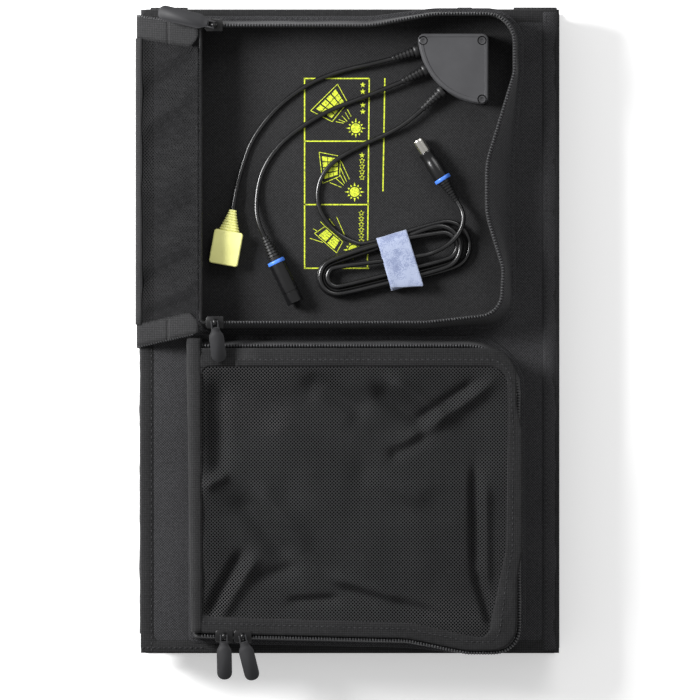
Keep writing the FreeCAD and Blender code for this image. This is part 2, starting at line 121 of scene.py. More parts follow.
def add(tree, kind, settings=None, **inputs):
    """Add a node. Settings are its own options; inputs are values, or outputs to link."""
    node = tree.nodes.new(kind)
    for key, value in (settings or {}).items():
        setattr(node, key, value)
    for key, value in inputs.items():
        numbered = key[0] == "n" and key[1:].isdigit()
        socket = node.inputs[int(key[1:]) if numbered else key.replace("_", " ")]
        if isinstance(value, bpy.types.NodeSocket):
            tree.links.new(value, socket)
        else:
            socket.default_value = value
    return node


def new_material(name, hex_value, roughness, **sockets):
    """A material with one Principled shader; returns it, its tree and that shader."""
    material = bpy.data.materials.new(name)
    material.use_nodes = True
    tree = material.node_tree
    shader = tree.nodes["Principled BSDF"]
    shader.inputs["Base Color"].default_value = colour(hex_value)
    shader.inputs["Roughness"].default_value = roughness
    for key, value in sockets.items():
        shader.inputs[key.replace("_", " ")].default_value = value
    material.diffuse_color = colour(hex_value)
    return material, tree, shader


def ramp(tree, factor, stops):
    """A colour ramp from (place, hex) stops."""
    node = add(tree, "ShaderNodeValToRGB", Fac=factor)
    elements = node.color_ramp.elements
    while len(elements) < len(stops):
        elements.new(0.5)
    for element, (place, hex_value) in zip(elements, stops):
        element.position = place
        element.color = colour(hex_value)
    return node.outputs["Color"]

# %% [markdown]
# ## Woven polyester
#
# The covers are a plain weave of thick, textured polyester yarn, matt and dark grey. Two crossed
# sine waves give the over-and-under of the yarns, at a yarn spacing of about 0.6 mm. The yarns
# are uneven, so a fine noise breaks the grid up and a broad one makes the faint cloudy shade that
# handling leaves. The weave is in the colour and in the bump.

# %% Cloth material
WAVE_RATE = 20      # how fast a wave texture turns, in radians for each unit of its scale
DIAGONAL = 0.785    # an eighth of a turn: the covers are cut across the weave


def woven(name, dark, middle, light, yarn=0.9, bump=0.5, angle=0.0, roughness=0.85,
          shine=0.22):
    """Plain-woven cloth with its yarns a given number of millimetres apart."""
    material, tree, shader = new_material(name, middle, roughness, Sheen_Weight=0.04,
                                          Sheen_Roughness=0.5, Specular_IOR_Level=shine)
    place = add(tree, "ShaderNodeTexCoord").outputs["Object"]
    turned = add(tree, "ShaderNodeMapping", Vector=place, Rotation=(0, 0, angle)).outputs["Vector"]
    scale = math.pi / (yarn * MM) / WAVE_RATE
    warp, weft = [add(tree, "ShaderNodeTexWave", {"bands_direction": axis}, Vector=turned,
                      Scale=scale, Distortion=1.2, Detail=1.0, Detail_Scale=1.5).outputs["Fac"]
                  for axis in ("X", "Y")]
    weave = add(tree, "ShaderNodeMath", {"operation": "MULTIPLY"}, n0=warp, n1=weft).outputs[0]
    grain = add(tree, "ShaderNodeTexNoise", Vector=place, Scale=0.55 / (yarn * MM), Detail=2.0,
                Roughness=0.7).outputs["Fac"]
    clouds = add(tree, "ShaderNodeTexNoise", Vector=place, Scale=22.0, Detail=3.0).outputs["Fac"]
    mixed = 0.02
    for layer, strength in ((weave, 0.55), (grain, 0.75), (clouds, 0.25)):
        mixed = add(tree, "ShaderNodeMath", {"operation": "MULTIPLY_ADD"}, n0=layer, n1=strength,
                    n2=mixed).outputs[0]
    shade = ramp(tree, mixed, [(0.38, dark), (0.66, middle), (1.0, light)])
    tree.links.new(shade, shader.inputs["Base Color"])
    height = add(tree, "ShaderNodeBump", Height=mixed, Strength=bump, Distance=0.25 * MM)
    tree.links.new(height.outputs["Normal"], shader.inputs["Normal"])
    return material


cloth = woven("woven_polyester_600_denier", "#141415", "#28282a", "#434345", yarn=0.62,
              angle=DIAGONAL)
cloth_edge = woven("polyester_binding_tape", "#0d0d0e", "#1b1b1c", "#2f2f30", yarn=0.6,
                   bump=0.35)
# Painted shade: the two pocket-floor cloths are darker copies of the cover cloth. The nearly black
# one stands for the deep shade inside the lower pocket, seen through its net.
pocket_painted_shade = woven("pocket_floor_painted_shade", "#0f0f10", "#1d1d1e", "#333334", yarn=0.62, angle=DIAGONAL)
pocket_painted_deep_shade = woven("pocket_floor_painted_deep_shade", "#040404", "#080809", "#0f0f10", yarn=0.62,
                    angle=DIAGONAL, shine=0.04)
webbing = woven("polyester_webbing", "#141415", "#262627", "#3d3d3e", yarn=1.2, bump=0.8)
tape = woven("polyester_zip_tape", "#0f0f10", "#1d1d1e", "#313132", yarn=0.6, bump=0.3)

# %% [markdown]
# ## Net, thread, zip coils and rubber
#
# The pocket flaps are a warp-knitted net: its holes are real geometry, so its material only has
# to be matt yarn. Sewing thread and the zip's nylon coils are a little shinier, which is why they
# read as thin pale lines. The pullers are soft moulded rubber with a fine, dull grain.

# %% Smaller cloth and polymer materials
def moulded(name, base, roughness, grain=0.35, depth=0.04, shade=0.12, **sockets):
    """Moulded plastic or rubber: an even colour with a fine grain from the mould."""
    material, tree, shader = new_material(name, base, roughness, **sockets)
    place = add(tree, "ShaderNodeTexCoord").outputs["Object"]
    fine = add(tree, "ShaderNodeTexNoise", Vector=place, Scale=1 / (grain * MM), Detail=2.0)
    broad = add(tree, "ShaderNodeTexNoise", Vector=place, Scale=90.0, Detail=2.0)
    rough = add(tree, "ShaderNodeMapRange", Value=broad.outputs["Fac"], n3=roughness - shade,
                n4=roughness + shade)
    tree.links.new(rough.outputs["Result"], shader.inputs["Roughness"])
    dark, pale = [[min(1.0, gain * c) for c in colour(base)[:3]] + [1.0] for gain in (0.8, 1.12)]
    mix = add(tree, "ShaderNodeMix", {"data_type": "RGBA"}, n0=broad.outputs["Fac"], n6=dark,
              n7=pale)
    tree.links.new(mix.outputs[2], shader.inputs["Base Color"])
    bump = add(tree, "ShaderNodeBump", Height=fine.outputs["Fac"], Strength=0.4,
               Distance=depth * MM)
    tree.links.new(bump.outputs["Normal"], shader.inputs["Normal"])
    return material


net_yarn = moulded("warp_knitted_polyester_net", "#363637", 0.8, grain=0.4, depth=0.1,
                   Specular_IOR_Level=0.2)
# Painted shade: the open flap's net is the same yarn in a much darker copy, which stands for the
# shade under the flap where it lies over the pack.
net_yarn_painted_shade = moulded("warp_knitted_polyester_net_painted_shade", "#131314", 0.8, grain=0.4, depth=0.1,
                        Specular_IOR_Level=0.15)
thread = moulded("bonded_nylon_thread", "#303032", 0.5, grain=0.3, Specular_IOR_Level=0.3)
coil_nylon = moulded("nylon_zip_coil", "#38383a", 0.4, grain=0.5)
slider_black = moulded("black_lacquered_zinc_slider", "#121213", 0.32, grain=0.6,
                       Specular_IOR_Level=0.35)
puller_rubber = moulded("moulded_soft_pvc_puller", "#262628", 0.62, grain=0.3, depth=0.05,
                        Specular_IOR_Level=0.3)
case_abs = moulded("abs_fine_texture", "#434345", 0.6, grain=0.25, depth=0.05,
                   Specular_IOR_Level=0.25)
relief_pvc = moulded("black_moulded_pvc", "#141415", 0.42, grain=0.6)
lead_jacket = moulded("black_pvc_lead_jacket", "#101011", 0.3, grain=2.0, depth=0.03,
                      Specular_IOR_Level=0.6)
plug_abs = moulded("black_polished_abs", "#121213", 0.25, grain=0.8, depth=0.02)
usb_yellow = moulded("yellow_moulded_abs", "#fffda0", 0.5, grain=0.4, depth=0.04, shade=0.06)
ring_blue = moulded("blue_moulded_abs", "#4a7ee0", 0.35, grain=0.5)
circuit_green = moulded("green_solder_resist", "#1c5a30", 0.35, grain=0.8)
board_foam = moulded("black_foamed_board", "#202021", 0.9, grain=0.8, depth=0.2)

# %% [markdown]
# ## Metals
#
# The round plug's barrel is turned brass with bright nickel on it, the port's shell is stamped
# steel, and the box screws are zinc plated and darker. Metal takes its look from what it
# reflects, so only its tint and a faint brushed roughness are set.

# %% Metal materials
def plated(name, tint, roughness, brush):
    """Bare or plated metal, with brush marks a given number of millimetres apart."""
    material, tree, shader = new_material(name, tint, roughness, Metallic=1.0)
    place = add(tree, "ShaderNodeTexCoord").outputs["Object"]
    lines = add(tree, "ShaderNodeTexNoise", Vector=place, Scale=1 / (brush * MM), Detail=3.0)
    rough = add(tree, "ShaderNodeMapRange", Value=lines.outputs["Fac"], n3=roughness - 0.08,
                n4=roughness + 0.12)
    tree.links.new(rough.outputs["Result"], shader.inputs["Roughness"])
    return material


nickel = plated("bright_nickel_plate", "#d9d6cf", 0.2, 0.5)
stamped_steel = plated("stamped_tinned_steel", "#b9b9b6", 0.3, 0.4)
screw_zinc = plated("dark_zinc_plated_screw", "#6c6c6e", 0.42, 0.3)

# %% [markdown]
# ## From a bmesh to a finished piece
#
# One function does what every piece needs: it scales millimetres to metres, merges doubles,
# points the faces outwards, gives the mesh its material, hangs it on the body it rides on
# and hides the plain CAD solids it stands for.

# %% Finish a piece
collection = bpy.context.scene.collection


def finish_piece(name, bm, material, body, replaces=(), thick=0.0, round_off=0.0,
                 smooth_levels=0, flat=False, merge=0.001, outward=True):
    """Turn a bmesh in millimetres into an object that rides on a CAD body."""
    if merge:
        bmesh.ops.remove_doubles(bm, verts=bm.verts, dist=merge)
    if outward:
        bmesh.ops.recalc_face_normals(bm, faces=bm.faces)
    bmesh.ops.scale(bm, vec=(MM, MM, MM), verts=bm.verts)
    mesh = bpy.data.meshes.new(name)
    bm.to_mesh(mesh)
    bm.free()
    piece = bpy.data.objects.new(name, mesh)
    collection.objects.link(piece)
    mesh.materials.append(material)
    if not flat:
        mesh.polygons.foreach_set("use_smooth", [True] * len(mesh.polygons))
    if thick:
        solid = piece.modifiers.new("thickness", "SOLIDIFY")
        solid.thickness = thick * MM
        solid.offset = 0
    if round_off:
        rounding = piece.modifiers.new("rounding", "BEVEL")
        rounding.width = round_off * MM
        rounding.segments = 3
        rounding.limit_method = "ANGLE"
        rounding.angle_limit = math.radians(40)
    if smooth_levels:
        smoothing = piece.modifiers.new("smoothing", "SUBSURF")
        smoothing.levels = smooth_levels
        smoothing.render_levels = smooth_levels
    if body:
        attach(piece, body)
    if replaces:
        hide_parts(*replaces)
    return piece

# %% [markdown]
# ## The leads
#
# Three thin round leads leave the junction box. A lead is a fixed length of something flexible,
# so each is one smooth NURBS curve with a handful of listed points, thickened by the
# curve's bevel. The third one is long: most of it is wound into a flat, loose coil.

# %% Lead routes
LEAD_DIAMETER = 3.2
GLAND_Z = 40.2
LEAD_Z = 36.9

lead_a_route = [(28.2, 182.7, GLAND_Z), (14.5, 179.2, GLAND_Z), (0, 176.3, 38.6),
                (-16.5, 171.4, LEAD_Z), (-31.3, 164, LEAD_Z), (-46, 153, LEAD_Z),
                (-56, 142.4, LEAD_Z), (-65.8, 128.6, LEAD_Z), (-70.7, 115.8, LEAD_Z),
                (-74.6, 102.5, 37.8), (-77.1, 91.3, 40.4), (-78.5, 81.3, 40.4)]
lead_b_route = [(35.1, 167.5, GLAND_Z), (24.3, 163.0, GLAND_Z), (12.4, 158.2, 38.8),
                (-1.0, 153.4, LEAD_Z), (-16.5, 147, LEAD_Z), (-31, 138.4, LEAD_Z),
                (-44, 128.6, LEAD_Z), (-54, 116.8, LEAD_Z), (-60, 105, LEAD_Z),
                (-62.6, 92, 37.6), (-63.0, 80.5, 39.9), (-61.2, 71.2, 41.3), (-57.4, 63.3, 41.3)]
lead_c_start = [(48.3, 148.8, GLAND_Z), (38.7, 140.1, GLAND_Z), (26.5, 133, 38.4),
                (13, 127.2, LEAD_Z), (0, 120.8, LEAD_Z), (-10.6, 114.3, LEAD_Z),
                (-18.5, 105.5, LEAD_Z), (-22, 95, LEAD_Z), (-21.5, 84, LEAD_Z),
                (-16.5, 74, LEAD_Z), (-8.5, 65.3, LEAD_Z), (1, 60.2, 37.6), (9.8, 57.6, 38.2)]
lead_c_end = [(48, 50.3, 42.0), (57, 53, 44.3), (65.6, 57.6, 44.6), (72.4, 64.2, 44.6),
              (76.2, 72.6, 44.4), (75.6, 81.0, 41.8), (71.4, 87.4, 40.9)]

# %% [markdown]
# The coil is four loose turns, pinched side by side in the middle by a strap and fanned out at
# the ends. Each turn goes round a left end and a right end of its own size. The loop below works
# them out in a tilted frame whose first direction runs along the coil.

# %% Coil turns
COIL_LEFT = Vector((-8.5, 36.5, 0))
COIL_RIGHT = Vector((64.5, 57.7, 0))
POINTS_PER_END = 6
coil_low, coil_high = node_box("lead_c_coil")
lower_layer = coil_low.z + LEAD_DIAMETER / 2
upper_layer = coil_high.z - LEAD_DIAMETER / 2
# each turn: radius at the left, radius at the right, push of its right end, height
coil_turns = [(13.0, 16.7, 0.0, lower_layer), (9.6, 12.6, -1.5, lower_layer),
              (12.2, 15.0, -5.0, upper_layer), (6.9, 9.4, -2.0, upper_layer)]


def coil_points():
    """Points of the turns, clockwise from the top of the left end."""
    along = (COIL_RIGHT - COIL_LEFT).normalized()
    across = Vector((-along.y, along.x, 0))
    points = []
    for left_radius, right_radius, push, height in coil_turns:
        right_middle = COIL_RIGHT + along * push
        for middle, radius, first in ((right_middle, right_radius, 90),
                                      (COIL_LEFT, left_radius, -90)):
            for step in range(POINTS_PER_END):
                angle = math.radians(first - 36 * step)
                spot = middle + along * (radius * math.cos(angle)) \
                    + across * (radius * math.sin(angle))
                points.append((spot.x, spot.y, height))
            if middle is right_middle:
                low_side = (middle + COIL_LEFT) / 2 - across * (radius + left_radius) / 2
                points.append((low_side.x, low_side.y, height))
        top_side = (right_middle + COIL_LEFT) / 2 + across * (right_radius + left_radius) / 2
        points.append((top_side.x, top_side.y, height))
    return points[:-1]


lead_c_route = lead_c_start + coil_points() + lead_c_end

# %% Draw the leads
def make_lead(name, route, body, node_names):
    """A smooth curve through a route's control points, and its length in millimetres."""
    curve = bpy.data.curves.new(name, "CURVE")
    curve.dimensions = "3D"
    curve.resolution_u = 6
    curve.bevel_depth = LEAD_DIAMETER / 2 * MM
    curve.bevel_resolution = 5
    curve.use_fill_caps = True
    spline = curve.splines.new("NURBS")
    spline.points.add(len(route) - 1)
    for point, (x, y, z) in zip(spline.points, route):
        point.co = (x * MM, y * MM, z * MM, 1.0)
    spline.order_u = 3
    spline.use_endpoint_u = True
    spline.use_smooth = True
    curve.materials.append(lead_jacket)
    piece = bpy.data.objects.new(name, curve)
    collection.objects.link(piece)
    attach(piece, body)
    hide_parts(*node_names)
    length = spline.calc_length() / MM
    print(name, "is", round(length), "mm long")
    return piece, length


lead_a, length_a = make_lead("lead_to_usb_block", lead_a_route, "panel_1", ["lead_a"])
lead_b, length_b = make_lead("lead_to_round_socket", lead_b_route, "panel_1", ["lead_b"])
lead_c, length_c = make_lead("coiled_lead_to_round_plug", lead_c_route, "panel_1",
                             ["lead_c_feed", "lead_c_coil", "lead_c_tail"])

# %% [markdown]
# ## Paths round the pockets
#
# Both pockets have a rounded outline. It is kept as a few corners with a radius each, as a
# pattern cutter draws it, and one function walks round it in even steps. The wall, the tape, the
# coils and the stitches all follow that walk.

# %% Rounded outlines
UPPER_TOP = [(-100, 204, 3), (14, 204, 80), (56, 211.8, 60), (110, 211.8, 24), (110, 172, 25),
             (91.5, 112, 50), (91.5, 78, 50), (102.5, 42, 20), (101, 11, 16), (50, 5.3, 60),
             (-100, 5.3, 3)]
UPPER_BASE = [(-100, 208, 3), (14, 208, 80), (56, 213.5, 60), (113, 213.5, 24), (113, 172, 25),
              (107, 112, 50), (107, 78, 50), (108, 42, 20), (108, 6, 16), (50, 2, 60),
              (-100, 2, 3)]
LOWER_TOP = [(-103, -9.2, 3), (112.5, -9.2, 34), (113.5, -215.2, 22), (78, -215.2, 30),
             (38, -206.9, 50), (-103, -203.4, 3)]
LOWER_BASE = [(-105, -6.2, 3), (114, -6.2, 34), (114.5, -213, 22), (78, -213, 30),
              (38, -209, 50), (-105, -206, 3)]


def outline_points(corners, per_corner=7, per_side=10):
    """Points round an outline: arcs at the corners, even steps on the straight sides."""
    count = len(corners)
    arcs = []
    for i, (x, y, radius) in enumerate(corners):
        here = Vector((x, y))
        back = Vector(corners[i - 1][:2]) - here
        ahead = Vector(corners[(i + 1) % count][:2]) - here
        half = back.angle(ahead) / 2
        reach = min(radius / math.tan(half), 0.48 * back.length, 0.48 * ahead.length)
        true_radius = reach * math.tan(half)
        inward = (back.normalized() + ahead.normalized()).normalized()
        middle = here + inward * (true_radius / math.sin(half))
        start = here + back.normalized() * reach - middle
        end = here + ahead.normalized() * reach - middle
        arcs.append([middle + start.slerp(end, k / (per_corner - 1)).normalized() * true_radius
                     for k in range(per_corner)])
    points = []
    for i, arc in enumerate(arcs):
        points += arc
        last, following = arc[-1], arcs[(i + 1) % count][0]
        points += [last.lerp(following, k / per_side) for k in range(1, per_side)]
    return points


def walk(points, spacing, closed=False):
    """Even steps along a row of points: (place, direction) pairs."""
    stops = points + points[:1] if closed else points
    steps, carried = [], 0.0
    for a, b in zip(stops, stops[1:]):
        span = (b - a).length
        if span < 1e-6:
            continue
        along = (b - a) / span
        at = carried
        while at < span:
            steps.append((a + along * at, along))
            at += spacing
        carried = at - span
    return steps


def pushed(points, distance):
    """A closed outline moved outwards (to the left of a clockwise walk)."""
    moved = []
    for i, point in enumerate(points):
        along = (points[(i + 1) % len(points)] - points[i - 1]).normalized()
        moved.append(point + Vector((-along.y, along.x)) * distance)
    return moved

# %% [markdown]
# ## Building cloth from loops
#
# A sewn wall is a loop of edges that is pulled up in a few steps. Extruding the loop's edges and
# moving the new vertices keeps every face a quad, so the cloth bends smoothly afterwards.

# %% Loop helpers
def share(value):
    """A number kept between nothing and one."""
    return min(max(value, 0.0), 1.0)


def eased(value):
    """A share that starts and ends gently."""
    value = share(value)
    return value * value * (3 - 2 * value)


def vertices_of(geometry):
    """The vertices among what an operator made."""
    return [g for g in geometry if isinstance(g, bmesh.types.BMVert)]


def cut_along(bm, place, normal):
    """Cut every face that a plane crosses."""
    geometry = list(bm.verts) + list(bm.edges) + list(bm.faces)
    bmesh.ops.bisect_plane(bm, geom=geometry, plane_co=place, plane_no=normal)


def take_in(bm, part):
    """Add a second bmesh to the first, and free it."""
    mesh = bpy.data.meshes.new("part")
    part.to_mesh(mesh)
    part.free()
    bm.from_mesh(mesh)
    bpy.data.meshes.remove(mesh)


def skin_over(bm, rings, ends=(0, -1)):
    """Faces between rings of vertices, one after another, and over the rings at the ends."""
    for a, b in zip(rings, rings[1:]):
        for k in range(len(a)):
            after = (k + 1) % len(a)
            bm.faces.new((a[k], a[after], b[after], b[k]))
    for end in ends:
        bm.faces.new(rings[end])


def start_loop(bm, places, closed=True):
    """Edges through a row of places."""
    verts = [bm.verts.new(place) for place in places]
    pairs = list(zip(verts, verts[1:]))
    if closed:
        pairs.append((verts[-1], verts[0]))
    return verts, [bm.edges.new(pair) for pair in pairs]


def pull_loop(bm, verts, edges, places):
    """Extrude a loop's edges and put the new vertices at new places, in the same order."""
    result = bmesh.ops.extrude_edge_only(bm, edges=edges)["geom"]
    fresh_edges = [g for g in result if isinstance(g, bmesh.types.BMEdge)]
    partner = {}
    for vert in verts:
        for edge in vert.link_edges:
            other = edge.other_vert(vert)
            if other in result and other not in verts:
                partner[vert] = other
    fresh = [partner[v] for v in verts]
    for vert, place in zip(fresh, places):
        vert.co = place
    ring = set(fresh)
    fresh_edges = [e for e in fresh_edges if e.verts[0] in ring and e.verts[1] in ring]
    return fresh, fresh_edges


def sheet_through(loops, closed=True):
    """A bmesh that runs through several loops of places, one after another."""
    bm = bmesh.new()
    verts, edges = start_loop(bm, loops[0], closed)
    for places in loops[1:]:
        verts, edges = pull_loop(bm, verts, edges, places)
    return bm


def rumple(x, y, size, height, seed=0.0):
    """A smooth uneven height for soft cloth, with lumps of about a given size."""
    return height * noise.noise(Vector((x / size, y / size, seed)))

# %% [markdown]
# ## Panel covers
#
# Each panel is a cloth envelope: a plain back, a front frame with a window over the cells, and a
# flat hem outside the stiff board. Back and front start as one cut sheet. Extra cuts near the
# board's edge let the front step down to the hem, and the two sheets are bridged at the rim.

# %% Covers of the four panels
HEM = 1.6
CLOTH = 0.8
STEP = 1.6
WINDOW_EDGE = 3.0
CUT_SPACING = 12.0
margin_x = [board_high.x - 1.0, board_high.x + CLOTH, board_high.x + STEP, board_high.x + 5]
margin_y = [board_high.y - 1.0, board_high.y + CLOTH, board_high.y + STEP, board_high.y + 5]
cells_high = node_box("cells_1")[1]
window_x = cells_high.x + WINDOW_EDGE
window_y = cells_high.y + WINDOW_EDGE


def cut_sheet(width, length, x_cuts, y_cuts):
    """A flat sheet with cut lines across it on both sides of the middle."""
    bm = bmesh.new()
    bmesh.ops.create_grid(bm, x_segments=1, y_segments=1, size=0.5)
    bmesh.ops.scale(bm, vec=(width, length, 1), verts=bm.verts)
    for axis, cuts in ((Vector((1, 0, 0)), x_cuts), (Vector((0, 1, 0)), y_cuts)):
        for cut in cuts:
            for side in (-1, 1):
                cut_along(bm, axis * cut * side, axis)
    return bm


def step_down(x, y, top, hem):
    """The height of a cover's front: up on the board, down at the hem."""
    out = max(abs(x) - board_high.x - CLOTH, abs(y) - board_high.y - CLOTH)
    return top + (hem - top) * eased(out / STEP)


def make_cover(number):
    """One panel's envelope; panels 1 and 3 lie with their cells down."""
    low, high = node_box(f"cover_{number}")
    cells_down = number in (1, 3)
    back_z, front_z = (high.z, low.z) if cells_down else (low.z, high.z)
    inward = -1 if cells_down else 1
    spread_x = [k * CUT_SPACING for k in range(1, 11)]
    spread_y = [k * CUT_SPACING for k in range(1, 17)]
    bm = cut_sheet(high.x - low.x, high.y - low.y, spread_x + [window_x] + margin_x,
                   spread_y + [window_y] + margin_y)
    front = bmesh.ops.duplicate(bm, geom=list(bm.faces))["geom"]
    front_faces = [g for g in front if isinstance(g, bmesh.types.BMFace)]
    for vert in bm.verts:
        vert.co.z = back_z
    for vert in vertices_of(front):
        vert.co.z = step_down(vert.co.x, vert.co.y, front_z, back_z + inward * HEM)
    hole = [f for f in front_faces if abs(f.calc_center_median().x) < window_x
            and abs(f.calc_center_median().y) < window_y]
    bmesh.ops.delete(bm, geom=hole, context="FACES")
    rim = [e for e in bm.edges if e.is_boundary
           and (abs(e.verts[0].co.x) > high.x - 1 or abs(e.verts[0].co.y) > high.y - 1)]
    bmesh.ops.bridge_loops(bm, edges=rim)
    lip = [e for e in bm.edges if e.is_boundary]
    turned = bmesh.ops.extrude_edge_only(bm, edges=lip)["geom"]
    bmesh.ops.translate(bm, vec=(0, 0, -inward * CLOTH), verts=vertices_of(turned))
    finish_piece(f"panel_{number}_cover", bm, cloth, f"panel_{number}", [f"cover_{number}"])


for number in (1, 2, 3, 4):
    make_cover(number)

# %% [markdown]
# ## Binding tape round the hems
#
# The cut edges of each panel are closed with a folded tape that is sewn on. The tape is a loop
# with a U-shaped section: it lies on one side of the hem, goes round the rim and comes back.

# %% Binding tapes
BINDING_WIDTH = 8.5
BINDING_RISE = 0.45


def rectangle(inset, z, low, high, steps=36):
    """Places round a rectangle, a given distance inside its edges, with softened corners."""
    corners = [(low.x + inset, high.y - inset, 4), (high.x - inset, high.y - inset, 4),
               (high.x - inset, low.y + inset, 4), (low.x + inset, low.y + inset, 4)]
    return [Vector((p.x, p.y, z)) for p in outline_points(corners, 4, steps)]


def make_binding(number):
    """The tape round one panel's hem."""
    low, high = node_box(f"cover_{number}")
    cells_down = number in (1, 3)
    top = high.z if cells_down else low.z + HEM
    bottom = top - HEM
    section = [(BINDING_WIDTH, top + 0.05), (BINDING_WIDTH - 0.5, top + BINDING_RISE),
               (1.2, top + BINDING_RISE), (0.1, top + 0.1), (-0.25, (top + bottom) / 2),
               (0.1, bottom - 0.1), (1.2, bottom - BINDING_RISE), (6.0, bottom - BINDING_RISE),
               (6.4, bottom - 0.05)]
    bm = sheet_through([rectangle(inset, z, low, high) for inset, z in section])
    for vert in bm.verts:
        vert.co.z += rumple(vert.co.x, vert.co.y, 9, 0.12, number)
    finish_piece(f"panel_{number}_binding", bm, cloth_edge, f"panel_{number}")


for number in (1, 2, 3, 4):
    make_binding(number)

# %% [markdown]
# The pack stands on two hems under the lowest panel. They are doubled cloth rolls, so each is a
# bar with rounded long edges.

# %% Hems that the pack stands on
ROLL_WIDTH = 12.0
feet_low, feet_high = node_box("feet")
feet_bm = bmesh.new()
for side in (-1, 1):
    roll = bmesh.ops.create_cube(feet_bm, size=1.0)["verts"]
    bmesh.ops.scale(feet_bm, vec=(feet_high.x - feet_low.x, ROLL_WIDTH, feet_high.z - feet_low.z),
                    verts=roll)
    bmesh.ops.translate(feet_bm, vec=(0, side * (feet_high.y - ROLL_WIDTH / 2),
                                      (feet_high.z + feet_low.z) / 2), verts=roll)
finish_piece("standing_hems", feet_bm, cloth, "panel_4", ["feet"], round_off=0.8)

# %% [markdown]
# ## Cloth spines at the folds
#
# Two panels meet in a strip of cloth that is longer than the gap it crosses, so at a closed fold
# it stands out in a soft round edge with small creases across it. The strip is drawn as its
# section, pulled along the pack in many steps, and creased with noise.

# %% Fold spines
def spine_section(kind, low_z, high_z, side):
    """Points of a spine's section, from the upper panel to the lower one."""
    edge = board_high.x + 13.6
    middle = (low_z + high_z) / 2
    if kind == "deep":
        rows = [(129.6, high_z + 0.15), (130.2, high_z + 0.75), (134.0, high_z + 0.85),
                (137.6, high_z + 0.35), (139.9, high_z - 1.6), (edge - 6.3, high_z - 4.8),
                (edge - 6.6, middle + 2.5), (edge - 6.9, middle), (edge - 6.6, middle - 2.5),
                (edge - 6.3, low_z + 3.4), (140.6, low_z + 1.7)]
        rows = [(min(x, 141.9), z) for x, z in rows]
    else:
        rows = [(139.6, high_z + 0.3), (141.0, high_z - 0.2), (141.9, middle),
                (141.0, low_z + 0.2), (139.6, low_z - 0.3)]
    return [(side * x, z) for x, z in rows]


def make_spine(name, node, kind, side, steps=150, crease=0.35):
    """A creased strip of cloth along one fold, from the upper panel to the lower one."""
    low, high = node_box(node)
    rows = spine_section(kind, low.z, high.z, side)
    ends = 214.5 if kind == "deep" else high.y
    loops = []
    for k in range(steps + 1):
        y = -ends + 2 * ends * k / steps
        loop = []
        for j, (x, z) in enumerate(rows):
            soft = math.sin(math.pi * min(j, len(rows) - 1 - j) / (len(rows) - 1))
            wave = rumple(y, 3 * j, 7.0, crease, low.z) + rumple(y, 2 * j, 21.0, 1.3 * crease, 5.0)
            loop.append(Vector((x + side * soft * wave * 0.8, y, z + soft * wave * 1.3)))
        loops.append(loop)
    bm = sheet_through(loops, closed=False)
    piece = finish_piece(name, bm, cloth, None, [node], thick=0.5)
    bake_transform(piece)


make_spine("spine_cloth_1_2", "spine_1_2", "deep", 1)
make_spine("spine_cloth_3_4", "spine_3_4", "deep", 1)
make_spine("spine_cloth_2_3", "spine_2_3", "shallow", -1)

# %% [markdown]
# ## Tie, ink, film and cells
#
# The tie is brushed nylon with a short pile, so it is soft and bright at its edges. Ink on a weave
# is broken up by the yarns. The film over the cells is clear and slightly milky. A cell is dark
# blue, with a fine printed finger every 2 mm and a wider bar every 39 mm.

# %% Remaining materials
def lines_every(tree, axis_value, pitch, share):
    """One on a line's width in every pitch along an axis, zero between."""
    scaled = add(tree, "ShaderNodeMath", {"operation": "MULTIPLY"}, n0=axis_value,
                 n1=1 / (pitch * MM)).outputs[0]
    place = add(tree, "ShaderNodeMath", {"operation": "FRACT"}, n0=scaled).outputs[0]
    return add(tree, "ShaderNodeMath", {"operation": "LESS_THAN"}, n0=place, n1=share).outputs[0]


def brushed_nylon():
    material, tree, shader = new_material("brushed_nylon_loop_tape", "#828ca9", 0.9,
                                          Sheen_Weight=0.3, Sheen_Roughness=0.4)
    place = add(tree, "ShaderNodeTexCoord").outputs["Object"]
    pile = add(tree, "ShaderNodeTexNoise", Vector=place, Scale=1600.0, Detail=3.0).outputs["Fac"]
    wear = add(tree, "ShaderNodeTexNoise", Vector=place, Scale=120.0, Detail=2.0).outputs["Fac"]
    both = add(tree, "ShaderNodeMath", {"operation": "ADD"}, n0=pile, n1=wear).outputs[0]
    shade = ramp(tree, both, [(0.7, "#6d7693"), (1.0, "#828ca9"), (1.25, "#98a1b9")])
    tree.links.new(shade, shader.inputs["Base Color"])
    bump = add(tree, "ShaderNodeBump", Height=pile, Strength=0.5, Distance=0.3 * MM)
    tree.links.new(bump.outputs["Normal"], shader.inputs["Normal"])
    return material


def screen_ink():
    material, tree, shader = new_material("yellow_green_screen_ink", "#c8d62b", 0.6)
    place = add(tree, "ShaderNodeTexCoord").outputs["Object"]
    weave = add(tree, "ShaderNodeTexNoise", Vector=place, Scale=1400.0, Detail=2.0).outputs["Fac"]
    shade = ramp(tree, weave, [(0.36, "#7d8620"), (0.5, "#c3d02c"), (0.75, "#d3e032")])
    tree.links.new(shade, shader.inputs["Base Color"])
    return material


def clear_film():
    material, tree, shader = new_material("clear_film_over_cells", "#2b2e36", 0.2, Coat_Weight=0.6)
    place = add(tree, "ShaderNodeTexCoord").outputs["Object"]
    dimples = add(tree, "ShaderNodeTexVoronoi", Vector=place, Scale=900.0).outputs["Distance"]
    bump = add(tree, "ShaderNodeBump", Height=dimples, Strength=0.25, Distance=0.1 * MM)
    tree.links.new(bump.outputs["Normal"], shader.inputs["Normal"])
    return material


